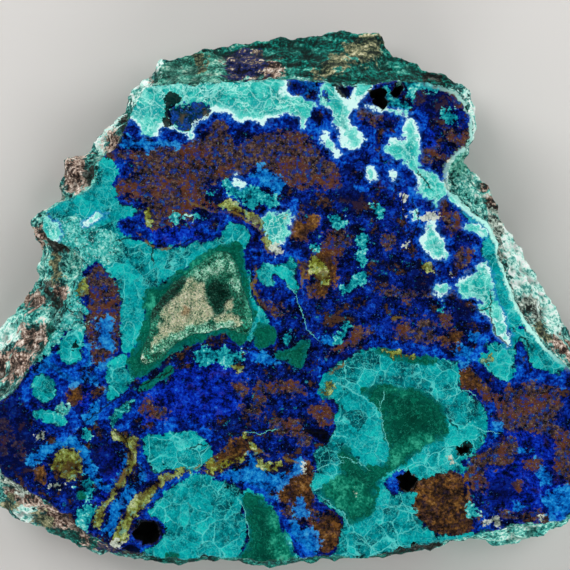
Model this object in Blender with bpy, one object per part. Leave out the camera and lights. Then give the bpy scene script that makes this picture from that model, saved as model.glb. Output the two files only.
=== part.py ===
# Azurite malachite slice: a thick sawn slice of copper ore that lies on its flat back,
# with its polished face up, a rough broken rim all round and one druse-lined hollow.
# Metres, +Z up out of the polished face, origin at the centre of the footprint.
import math

import bpy
import bmesh
from mathutils import Vector, noise

MM = 0.001

# Driving dimensions
SLICE_WIDTH = 124.0 * MM        # left to right across the widest outline
SLICE_THICKNESS = 22.0 * MM     # sawn back to polished face
BELLY_SPREAD = 1.02             # the widest outline lies low, so it is larger than it looks from above
RIM_COUNT = 252                 # points round each ring of the rim
RIM_TAPER = 1.6 * MM            # how far the rim draws in again below its widest ring
HOLLOW_DEPTH = 3.0 * MM         # deepest point of the druse hollow below the face
DRUSE_GAP = 0.35 * MM           # clearance between the druse crust and the hollow's floor
DRUSE_EDGE = 0.5 * MM           # how far below the face the crust's thin edge lies
DRUSE_TOP = 0.9 * MM            # mean depth of the crust's upper surface
DRUSE_COUNT = 56                # points round each ring of the crust
POCKET_DEPTH = 1.0 * MM         # extra depth of the green pocket in the crust

# Outlines are drawn on the photograph's own grid, x to the right and y down.
DRAWING_CENTRE = (289.0, 300.0)
HOLLOW_CENTRE = (200.0, 305.0)
POCKET_CENTRE = (214.0, 297.0)
POCKET_RADIUS = 17.0

# Edge of the polished face, clockwise from its upper left corner.
FACE_EDGE = [
    (145, 87), (165, 84), (190, 83), (215, 83), (240, 82), (262, 80), (285, 78), (305, 80),
    (325, 82), (348, 86), (368, 84), (390, 81), (412, 81), (435, 84), (455, 90), (465, 99),
    (470, 110), (473, 122), (474, 134), (473, 142), (469, 148), (449, 163), (448, 176), (447, 189),
    (462, 203), (473, 214), (489, 222), (498, 240), (503, 262), (509, 284), (516, 303), (524, 318),
    (536, 333), (550, 350), (566, 364), (583, 385), (594, 412), (598, 442), (592, 474), (580, 502),
    (566, 521), (545, 524), (520, 524), (495, 531), (470, 537), (445, 541), (420, 546), (395, 551),
    (370, 557), (340, 557), (310, 557), (290, 559), (270, 563), (245, 559), (215, 557), (185, 560),
    (155, 558), (128, 552), (104, 544), (86, 534), (70, 520), (52, 506), (34, 495), (16, 484),
    (0, 474), (-12, 459), (-18, 440), (-15, 420), (-5, 405), (12, 393), (24, 376), (38, 357),
    (52, 339), (64, 318), (72, 298), (78, 276), (82, 258), (70, 246), (50, 241), (42, 230),
    (43, 214), (56, 204), (80, 195), (96, 186), (98, 160), (116, 148), (122, 134), (130, 114),
    (138, 99),
]

# Widest outline of the stone, clockwise from the same corner.
BELLY_EDGE = [
    (134, 86), (138, 77), (150, 68), (152, 58), (159, 54), (172, 54), (184, 48), (200, 46),
    (222, 44), (240, 39), (262, 35), (290, 33), (312, 31), (334, 28), (356, 28), (370, 33),
    (381, 33), (386, 46), (402, 54), (420, 63), (440, 69), (456, 75), (468, 83), (475, 95),
    (479, 108), (480, 122), (477, 136), (473, 147), (466, 154), (471, 164), (484, 173), (494, 184),
    (500, 198), (505, 216), (514, 229), (524, 245), (531, 256), (537, 270), (548, 286), (558, 302),
    (566, 318), (580, 342), (597, 372), (608, 404), (612, 438), (606, 474), (592, 504), (572, 527),
    (552, 536), (532, 544), (503, 552), (484, 546), (462, 545), (442, 551), (415, 555), (388, 561),
    (358, 563), (325, 562), (298, 565), (280, 569), (260, 569), (240, 564), (210, 563), (185, 566),
    (160, 568), (138, 564), (118, 560), (95, 558), (70, 549), (42, 536), (20, 526), (0, 517),
    (-16, 500), (-27, 470), (-31, 438), (-29, 402), (-22, 366), (-12, 336), (4, 314), (14, 302),
    (20, 291), (33, 281), (33, 266), (36, 252), (33, 244), (27, 236), (25, 222), (32, 210),
    (46, 202), (56, 196), (48, 187), (52, 181), (57, 174), (59, 156), (70, 151), (84, 147),
    (92, 138), (99, 124), (108, 113), (118, 107), (122, 98), (128, 90),
]

# Mouth of the druse hollow and outline of the crust inside it.
HOLLOW_EDGE = [
    (222, 250), (233, 258), (238, 272), (241, 288), (247, 303), (252, 320), (251, 334), (241, 334),
    (232, 328), (222, 327), (210, 331), (195, 332), (182, 337), (172, 346), (162, 356), (150, 364),
    (139, 369), (141, 355), (149, 340), (152, 326), (151, 313), (160, 302), (168, 292), (176, 282),
    (188, 276), (198, 266), (208, 259),
]
DRUSE_OUTLINE = [
    (221, 254), (230, 262), (234, 275), (237, 290), (242, 305), (247, 319), (246, 329), (238, 326),
    (225, 322), (210, 326), (195, 327), (180, 331), (168, 341), (160, 350), (150, 358), (144, 362),
    (147, 351), (154, 338), (157, 325), (157, 314), (165, 305), (172, 296), (179, 287), (190, 280),
    (200, 270), (211, 262),
]

# Black pits that stand open in the polished face: centre, width and height on the drawing.
PITS = {
    "pit_lower_left": ((148, 532), 30, 23),
    "pit_lower_right": ((408, 481), 20, 16),
    "pit_upper": ((378, 98), 15, 19),
    "pit_upper_right": ((396, 90), 10, 15),
    "pit_right": ((464, 449), 17, 11),
}
PIT_DEPTH = 1.3 * MM

# Rim profiles from the face edge (0) to the back (1): how far each ring stands out towards the belly.
RING_DEPTHS = [0.0, 0.05, 0.12, 0.20, 0.29, 0.39, 0.50, 0.61, 0.72, 0.83, 0.92, 1.0]
SLOPED = [0.0, 0.08, 0.18, 0.29, 0.42, 0.56, 0.72, 0.87, 1.0, 0.99, 0.95, 0.90]
LEDGED = [0.0, 0.12, 0.20, 0.25, 0.31, 0.52, 0.88, 0.97, 1.0, 0.97, 0.91, 0.83]
BULGED = [0.0, 0.18, 0.38, 0.56, 0.74, 0.87, 0.96, 1.0, 0.98, 0.93, 0.86, 0.79]
BELLY_DEPTH = 0.72                      # the ring that stands out furthest, and keeps most of its outline
BELLY_KEEP = 0.7
BELLY_BAND = 0.08
LIP_DEPTH = 0.16                        # share of the rim over which the relief grows below the crisp edge

# Relief of the rough rim, cut inwards from the smooth profile.
LUMP_SIZE = 10.0 * MM
LUMP_RELIEF = 2.2 * MM
CHIP_SIZE = 7.0 * MM            # broken faces that meet in creases
CHIP_RELIEF = 2.4 * MM
KNOB_SIZE = 6.0 * MM            # rounded knobs with crevices between them, at the left
KNOB_RELIEF = 3.2 * MM
STRATA_PITCH = 7.0 * MM         # ledges that run round the rim
STRATA_RELIEF = 1.6 * MM
UPRIGHT_SWELL = 2.0 * MM        # how much less is cut where the rim is nearly upright
FULL_SLOPE = 4.0 * MM           # overhang past which the rim counts as fully sloped
RIDGE_LINE = ((383, 30), (322, 80))     # the tan ridge across the upper facet
RIDGE_WIDTH = 2.6 * MM
RIDGE_RELIEF = 1.5 * MM
RING_WANDER = 0.7 * MM          # how far the rings between the two flat faces run up and down
WANDER_SIZE = 6.0 * MM
EDGE_JITTER = 0.35 * MM
JITTER_SIZE = 3.0 * MM
WANDER_OFFSET = Vector((0.1, 0.0, 0.0))     # keeps the rings' wander unlike their relief

# Where each form of the rim begins and where it is whole, along x or y in the plan.
SLOPED_ABOVE = (28.0 * MM, 38.0 * MM)
BULGED_LEFT_OF = (-24.0 * MM, -38.0 * MM)
BULGED_ABOVE = (-34.0 * MM, -20.0 * MM)
KNOBS_LEFT_OF = (-18.0 * MM, -34.0 * MM)
STRATA_RIGHT_OF = (30.0 * MM, 40.0 * MM)
RIDGE_ABOVE = (30.0 * MM, 38.0 * MM)
RIDGE_BELOW_LIP = (0.0, 0.3)            # share of the rim's height over which the ridge rises

# How the relief's forms are shaped and mixed.
NOISE_SEED = 7                          # fixes which way each broken face tilts
CHIP_TILT = 1.3                         # fall of a broken face across one chip
CHIP_LEVELS = 0.45                      # how much neighbouring chips differ in level
TILT_SPREAD = 3.7                       # keep neighbouring chips' tilts and levels unlike each other
LEVEL_SPREAD = 5.3
CHIPS_LOST = 0.6                        # share of the chips' relief lost among the knobs
KNOB_FALL = 2.4                         # how steeply a knob falls away to its crevices
STRATA_BEND = 2.5                       # how far the ledges wander from level, in radians
STRATA_BEND_SIZE = 14.0 * MM
STRATA_LEFT_OVER = 0.45                 # share of the ledges' relief away from the right end

# Forms of the hollow, its crust and the pits.
HOLLOW_PROFILE = [(0.0, 1.0), (0.4, 0.94), (0.7, 0.80), (0.88, 0.58), (0.96, 0.32), (1.0, 0.0)]
CUTTER_RISE = 1.0 * MM                  # how far the hollow's cutter stands above the face
DRUSE_SHARES = [1.0, 0.92, 0.8, 0.66, 0.5, 0.34, 0.17]      # the crust's rings, from its edge inwards
DRUSE_INSET = 0.8 * MM                  # least distance between the crust and the hollow's mouth
DRUSE_LEAST = 0.2 * MM                  # least thickness of the crust
DRUSE_THINS = (0.8, 1.0)                # share of the way out over which the crust thins to its edge
LUMPS = {"size": 2.5 * MM, "height": 0.25 * MM}
GRAINS = {"size": 0.8 * MM, "height": 0.22 * MM}
POCKET_FLAT = 0.3                       # share of the pocket's radius that is full depth
PIT_LUMPS = 1.7                         # lumps across a pit, and how far they swell its wall
PIT_SWELL = 0.28

SHARP_ANGLE = math.radians(40)          # creases sharper than this stay sharp
ORE = {"colour": (0.02, 0.14, 0.35), "roughness": 0.3}
CRYSTALS = {"colour": (0.42, 0.55, 0.33), "roughness": 0.6}

BELLY_LEFT = min(x for x, y in BELLY_EDGE)
BELLY_RIGHT = max(x for x, y in BELLY_EDGE)
GRID = SLICE_WIDTH / (BELLY_SPREAD * (BELLY_RIGHT - BELLY_LEFT))     # one step of the drawing, 0.19 mm


def place(x, y):
    """A point of the drawing in the part's plan."""
    return Vector(((x - DRAWING_CENTRE[0]) * GRID, (DRAWING_CENTRE[1] - y) * GRID))


def polar_radius(outline, centre, scale=1.0):
    """The outline's radius about a centre, as a function of the angle."""
    spokes = []
    for x, y in outline:
        arm = (place(x, y) * scale) - centre
        spokes.append((math.atan2(arm.y, arm.x), arm.length))
    spokes.sort()
    first, last = spokes[0], spokes[-1]
    spokes = [(last[0] - math.tau, last[1])] + spokes + [(first[0] + math.tau, first[1])]

    def radius(angle):
        angle = math.atan2(math.sin(angle), math.cos(angle))
        for (a0, r0), (a1, r1) in zip(spokes, spokes[1:]):
            if a0 <= angle <= a1:
                share = (angle - a0) / max(a1 - a0, 1e-9)
                return r0 + (r1 - r0) * share
        return first[1]

    return radius


def smooth_step(low, high, value):
    """0 below low, 1 above high and a smooth rise between them."""
    share = min(1.0, max(0.0, (value - low) / (high - low)))
    return share * share * (3 - 2 * share)


def fractal(point, size, octaves=3):
    """Fractal noise from about -1 to 1 whose largest lumps are size across."""
    return noise.fractal(point / size, 1.0, 2.0, octaves)


def rim_profile(x, y):
    """The rim's profile at a plan position: sloped at the top, bulging at the left, ledged elsewhere."""
    upper = smooth_step(*SLOPED_ABOVE, y)
    left = smooth_step(*BULGED_LEFT_OF, x) * smooth_step(*BULGED_ABOVE, y) * (1 - upper)
    rest = 1 - upper - left
    return [upper * s + left * b + rest * e for s, b, e in zip(SLOPED, BULGED, LEDGED)]


def chip(point):
    """Tilted plane of the broken face that a point lies on, from 0 to 1."""
    cell = noise.voronoi(point / CHIP_SIZE)[1][0]
    tilt = noise.noise_vector(cell * TILT_SPREAD)
    level = 0.5 + CHIP_LEVELS * noise.noise(cell * LEVEL_SPREAD)
    away = point / CHIP_SIZE - cell
    return min(1.0, max(0.0, level + CHIP_TILT * away.dot(tilt)))


def rim_relief(point):
    """How far the rough rim is cut in at a point."""
    left = smooth_step(*KNOBS_LEFT_OF, point.x)
    right = smooth_step(*STRATA_RIGHT_OF, point.x)
    lumps = 0.5 + 0.5 * fractal(point, LUMP_SIZE)
    nearest = noise.voronoi(point / KNOB_SIZE)[0][0]
    knobs = min(1.0, KNOB_FALL * nearest * nearest) * left
    wave = math.sin(math.tau * point.z / STRATA_PITCH + STRATA_BEND * fractal(point, STRATA_BEND_SIZE))
    ledged = STRATA_LEFT_OVER + (1 - STRATA_LEFT_OVER) * right
    strata = (0.5 + 0.5 * wave) * ledged * (1 - left)
    chips = chip(point) * (1 - CHIPS_LOST * left)
    return LUMP_RELIEF * lumps + CHIP_RELIEF * chips + KNOB_RELIEF * knobs + STRATA_RELIEF * strata


def ridge_lift(point):
    """The raised tan ridge that crosses the upper facet."""
    start, end = (place(*RIDGE_LINE[0]), place(*RIDGE_LINE[1]))
    along = (end - start).normalized()
    away = Vector((point.x, point.y)) - start
    across = away.x * along.y - away.y * along.x
    return RIDGE_RELIEF * math.exp(-((across / RIDGE_WIDTH) ** 2))


def rough_radius(inner, outer, out, depth, way):
    """The rim's radius at one depth: the smooth profile, less its relief, with the ridge and the jitter."""
    below = max(0.0, (depth - BELLY_DEPTH) / (1 - BELLY_DEPTH))
    radius = inner + (outer - inner) * out - RIM_TAPER * below * below
    point = way * radius + Vector((0.0, 0.0, SLICE_THICKNESS * (1 - depth)))
    kept = BELLY_KEEP * math.exp(-((depth - BELLY_DEPTH) / BELLY_BAND) ** 2)
    rough = smooth_step(0.0, LIP_DEPTH, depth) * (1 - kept)
    upright = 1 - min(1.0, max(0.0, (outer - inner) / FULL_SLOPE))
    radius -= (rim_relief(point) - UPRIGHT_SWELL * upright) * rough
    radius += ridge_lift(point) * smooth_step(*RIDGE_BELOW_LIP, depth) * smooth_step(*RIDGE_ABOVE, point.y)
    return radius + EDGE_JITTER * fractal(point, JITTER_SIZE)


def rim_rings():
    """Rings of points from the edge of the polished face down to the edge of the sawn back."""
    middle = Vector((0.0, 0.0))
    face_radius = polar_radius(FACE_EDGE, middle)
    belly_radius = polar_radius(BELLY_EDGE, middle, BELLY_SPREAD)
    rings = [[] for _ in RING_DEPTHS]
    for step in range(RIM_COUNT):
        angle = math.tau * step / RIM_COUNT
        way = Vector((math.cos(angle), math.sin(angle), 0.0))
        inner = face_radius(angle)
        outer = belly_radius(angle)
        profile = rim_profile(way.x * outer, way.y * outer)
        for ring, (depth, out) in enumerate(zip(RING_DEPTHS, profile)):
            radius = rough_radius(inner, outer, out, depth, way)
            point = way * radius + Vector((0.0, 0.0, SLICE_THICKNESS * (1 - depth)))
            if 0.0 < depth < 1.0:
                point.z += RING_WANDER * fractal(point + WANDER_OFFSET, WANDER_SIZE)
            rings[ring].append(point)
    return rings


def add_object(name, mesh_builder, material):
    """Makes a named object of a built mesh, smooth but for its sharp creases."""
    mesh = bpy.data.meshes.new(name)
    mesh_builder.to_mesh(mesh)
    mesh_builder.free()
    mesh.shade_smooth()
    mesh.set_sharp_from_angle(angle=SHARP_ANGLE)
    mesh.materials.append(material)
    made = bpy.data.objects.new(name, mesh)
    bpy.context.scene.collection.objects.link(made)
    return made


def join_rings(bm, upper, lower):
    """Quads between two rings of equal length; a ring of one point closes as a fan."""
    count = len(upper)
    for i in range(count):
        j = (i + 1) % count
        below = [lower[i], lower[j]] if len(lower) > 1 else [lower[0]]
        bm.faces.new([upper[i], *below, upper[j]])


def make_slice(material):
    """The stone itself: polished face, rough rim and sawn back in one closed body."""
    bm = bmesh.new()
    rings = [[bm.verts.new(point) for point in ring] for ring in rim_rings()]
    bm.faces.new(rings[0])
    for upper, lower in zip(rings, rings[1:]):
        join_rings(bm, upper, lower)
    bm.faces.new(list(reversed(rings[-1])))
    return add_object("slice", bm, material)


def hollow_floor(share):
    """Depth of the hollow below the face, at a share of the way from its centre to its mouth's edge."""
    for (s0, d0), (s1, d1) in zip(HOLLOW_PROFILE, HOLLOW_PROFILE[1:]):
        if share <= s1:
            return HOLLOW_DEPTH * (d0 + (d1 - d0) * (share - s0) / (s1 - s0))
    return 0.0


def make_hollow_cutter():
    """The shape of the hollow, open above the face."""
    centre = place(*HOLLOW_CENTRE)
    radius = polar_radius(HOLLOW_EDGE, centre)
    bm = bmesh.new()
    rings = []
    walls = [(share, hollow_floor(share)) for share, _ in reversed(HOLLOW_PROFILE[1:])]
    for share, depth in [(1.0, -CUTTER_RISE)] + walls:
        ring = []
        for step in range(DRUSE_COUNT):
            angle = math.tau * step / DRUSE_COUNT
            reach = radius(angle) * share
            plan = centre + Vector((math.cos(angle), math.sin(angle))) * reach
            ring.append(bm.verts.new((plan.x, plan.y, SLICE_THICKNESS - depth)))
        rings.append(ring)
    bm.faces.new(rings[0])
    for upper, lower in zip(rings, rings[1:]):
        join_rings(bm, upper, lower)
    bottom = bm.verts.new((centre.x, centre.y, SLICE_THICKNESS - hollow_floor(0.0)))
    join_rings(bm, rings[-1], [bottom])
    return bm


def druse_depth(plan, share):
    """Depth of the crust's upper surface below the face: lumpy, with one pocket, thinning to its edge."""
    spot = Vector((plan.x, plan.y, 0.0))
    lumps = LUMPS["height"] * fractal(spot, LUMPS["size"])
    grains = GRAINS["height"] * noise.noise(spot / GRAINS["size"])
    away = (plan - place(*POCKET_CENTRE)).length / (POCKET_RADIUS * GRID)
    pocket = POCKET_DEPTH * (1 - smooth_step(POCKET_FLAT, 1.0, away))
    inside = 1 - smooth_step(*DRUSE_THINS, share)
    return DRUSE_EDGE + (DRUSE_TOP - DRUSE_EDGE + lumps + grains + pocket) * inside


def make_druse(material):
    """The crust of malachite crystals that lines the hollow's floor."""
    centre = place(*HOLLOW_CENTRE)
    mouth = polar_radius(HOLLOW_EDGE, centre)
    outline = polar_radius(DRUSE_OUTLINE, centre)
    bm = bmesh.new()
    rings = {"top": [], "under": []}
    for share in DRUSE_SHARES:
        top, under = [], []
        for step in range(DRUSE_COUNT):
            angle = math.tau * step / DRUSE_COUNT
            reach = min(outline(angle), mouth(angle) - DRUSE_INSET) * share
            plan = centre + Vector((math.cos(angle), math.sin(angle))) * reach
            upper = druse_depth(plan, share)
            floor = hollow_floor(reach / mouth(angle)) - DRUSE_GAP
            top.append(bm.verts.new((plan.x, plan.y, SLICE_THICKNESS - upper)))
            if share < 1.0:
                lower = max(floor, upper + DRUSE_LEAST)
                under.append(bm.verts.new((plan.x, plan.y, SLICE_THICKNESS - lower)))
        rings["top"].append(top)
        rings["under"].append(under or top)
    for side, turned in (("top", True), ("under", False)):
        for outer, inner in zip(rings[side], rings[side][1:]):
            join_rings(bm, outer, inner)
        depth = druse_depth(centre, 0.0) if turned else hollow_floor(0.0) - DRUSE_GAP
        hub = bm.verts.new((centre.x, centre.y, SLICE_THICKNESS - depth))
        join_rings(bm, rings[side][-1], [hub])
    bmesh.ops.recalc_face_normals(bm, faces=bm.faces)
    return add_object("malachite_druse", bm, material)


def make_pit_cutter(centre, width, height, seed):
    """A lumpy bowl, half of it above the face."""
    bm = bmesh.new()
    bmesh.ops.create_icosphere(bm, subdivisions=3, radius=1.0)
    plan = place(*centre)
    reach = Vector((width / 2 * GRID, height / 2 * GRID, PIT_DEPTH))
    for vert in bm.verts:
        swell = 1 + PIT_SWELL * noise.noise(vert.co * PIT_LUMPS + Vector((seed, 0, 0)))
        vert.co = vert.co * reach * swell + Vector((plan.x, plan.y, SLICE_THICKNESS))
    return bm


def cut(stone, name, mesh_builder, material):
    """Cuts a closed shape out of the stone and keeps it as a hidden guide."""
    cutter = add_object(name, mesh_builder, material)
    cutter.hide_render = True
    cutter.display_type = "WIRE"
    boolean = stone.modifiers.new(name, "BOOLEAN")
    boolean.operation = "DIFFERENCE"
    boolean.solver = "EXACT"
    boolean.object = cutter
    return cutter


def make_material(name, look):
    """A Principled material of one colour."""
    made = bpy.data.materials.new(name)
    made.use_nodes = True
    shader = made.node_tree.nodes["Principled BSDF"]
    shader.inputs["Base Color"].default_value = (*look["colour"], 1.0)
    shader.inputs["Roughness"].default_value = look["roughness"]
    shader.inputs["Metallic"].default_value = 0.0
    made.diffuse_color = (*look["colour"], 1.0)
    return made


def main():
    for old in list(bpy.data.objects):
        bpy.data.objects.remove(old)
    noise.seed_set(NOISE_SEED)
    ore = make_material("polished_copper_ore", ORE)
    crystals = make_material("malachite_crystals", CRYSTALS)

    stone = make_slice(ore)
    pieces = [stone, make_druse(crystals), cut(stone, "hollow_cutter", make_hollow_cutter(), ore)]
    for seed, (name, (centre, width, height)) in enumerate(PITS.items()):
        pieces.append(cut(stone, name, make_pit_cutter(centre, width, height, seed), ore))

    # One empty carries every piece, so that the footprint is centred on the origin.
    low = Vector([min(v.co[i] for v in stone.data.vertices) for i in range(2)])
    high = Vector([max(v.co[i] for v in stone.data.vertices) for i in range(2)])
    centring = bpy.data.objects.new("centring", None)
    bpy.context.scene.collection.objects.link(centring)
    centring.location = (-(low.x + high.x) / 2, -(low.y + high.y) / 2, 0.0)
    for piece in pieces:
        piece.parent = centring


main()
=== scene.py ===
# A polished slice of azurite, chrysocolla and malachite ore, lying face up on a pale floor.
# It lies flat on its sawn back: the top of the slice points along +Y and its polished face looks up.
import math

import bpy
import numpy as np
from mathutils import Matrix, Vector, noise
from mathutils.kdtree import KDTree


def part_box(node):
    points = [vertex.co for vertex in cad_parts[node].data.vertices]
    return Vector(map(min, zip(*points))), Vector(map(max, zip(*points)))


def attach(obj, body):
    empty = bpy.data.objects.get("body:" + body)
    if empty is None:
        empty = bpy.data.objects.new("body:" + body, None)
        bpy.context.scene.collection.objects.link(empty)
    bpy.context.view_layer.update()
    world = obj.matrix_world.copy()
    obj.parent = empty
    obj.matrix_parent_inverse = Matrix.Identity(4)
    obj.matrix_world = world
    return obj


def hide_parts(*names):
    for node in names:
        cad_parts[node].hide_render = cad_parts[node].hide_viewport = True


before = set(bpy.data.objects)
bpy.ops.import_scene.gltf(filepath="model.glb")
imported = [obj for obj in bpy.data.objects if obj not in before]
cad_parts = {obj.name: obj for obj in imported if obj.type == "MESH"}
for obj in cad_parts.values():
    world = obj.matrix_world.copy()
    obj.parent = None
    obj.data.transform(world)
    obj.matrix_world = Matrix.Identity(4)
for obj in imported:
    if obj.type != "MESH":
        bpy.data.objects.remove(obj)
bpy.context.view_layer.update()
mm = 0.001

# The minerals are drawn on one grid of 570 x 570 steps, x to the right and y down.
drawing = {
    "step": 0.18906 * mm,             # real size of one step of the drawing
    "origin": (291.51, 299.13),       # the step that lies over the middle of the footprint
    "middle": (285.0, 285.0),         # the middle of the view
    "steps": 570,
}

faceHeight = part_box("slice")[1][2]


def placeOf(x, y):
    # A step of the drawing as a place on the stone, in metres.
    return (x - drawing["origin"][0]) * drawing["step"], (drawing["origin"][1] - y) * drawing["step"]


def outlineOf(text):
    # An outline's steps as places, its corners cut twice so that it runs round.
    ring = np.array([placeOf(*(float(step) for step in pair.split(","))) for pair in text.split()])
    for _ in range(2):
        following = np.roll(ring, -1, axis=0)
        ring = np.stack([0.75 * ring + 0.25 * following, 0.25 * ring + 0.75 * following], axis=1).reshape(-1, 2)
    return ring


def linear(code):
    # A colour code such as "#14a3a0" as the linear values that Blender mixes.
    parts = [int(code[i:i + 2], 16) / 255 for i in (1, 3, 5)]
    return [part / 12.92 if part <= 0.04045 else ((part + 0.055) / 1.055) ** 2.4 for part in parts] + [1.0]


def smoothStep(low, high, values):
    share = np.clip((values - low) / (high - low), 0.0, 1.0)
    return share * share * (3 - 2 * share)


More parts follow.
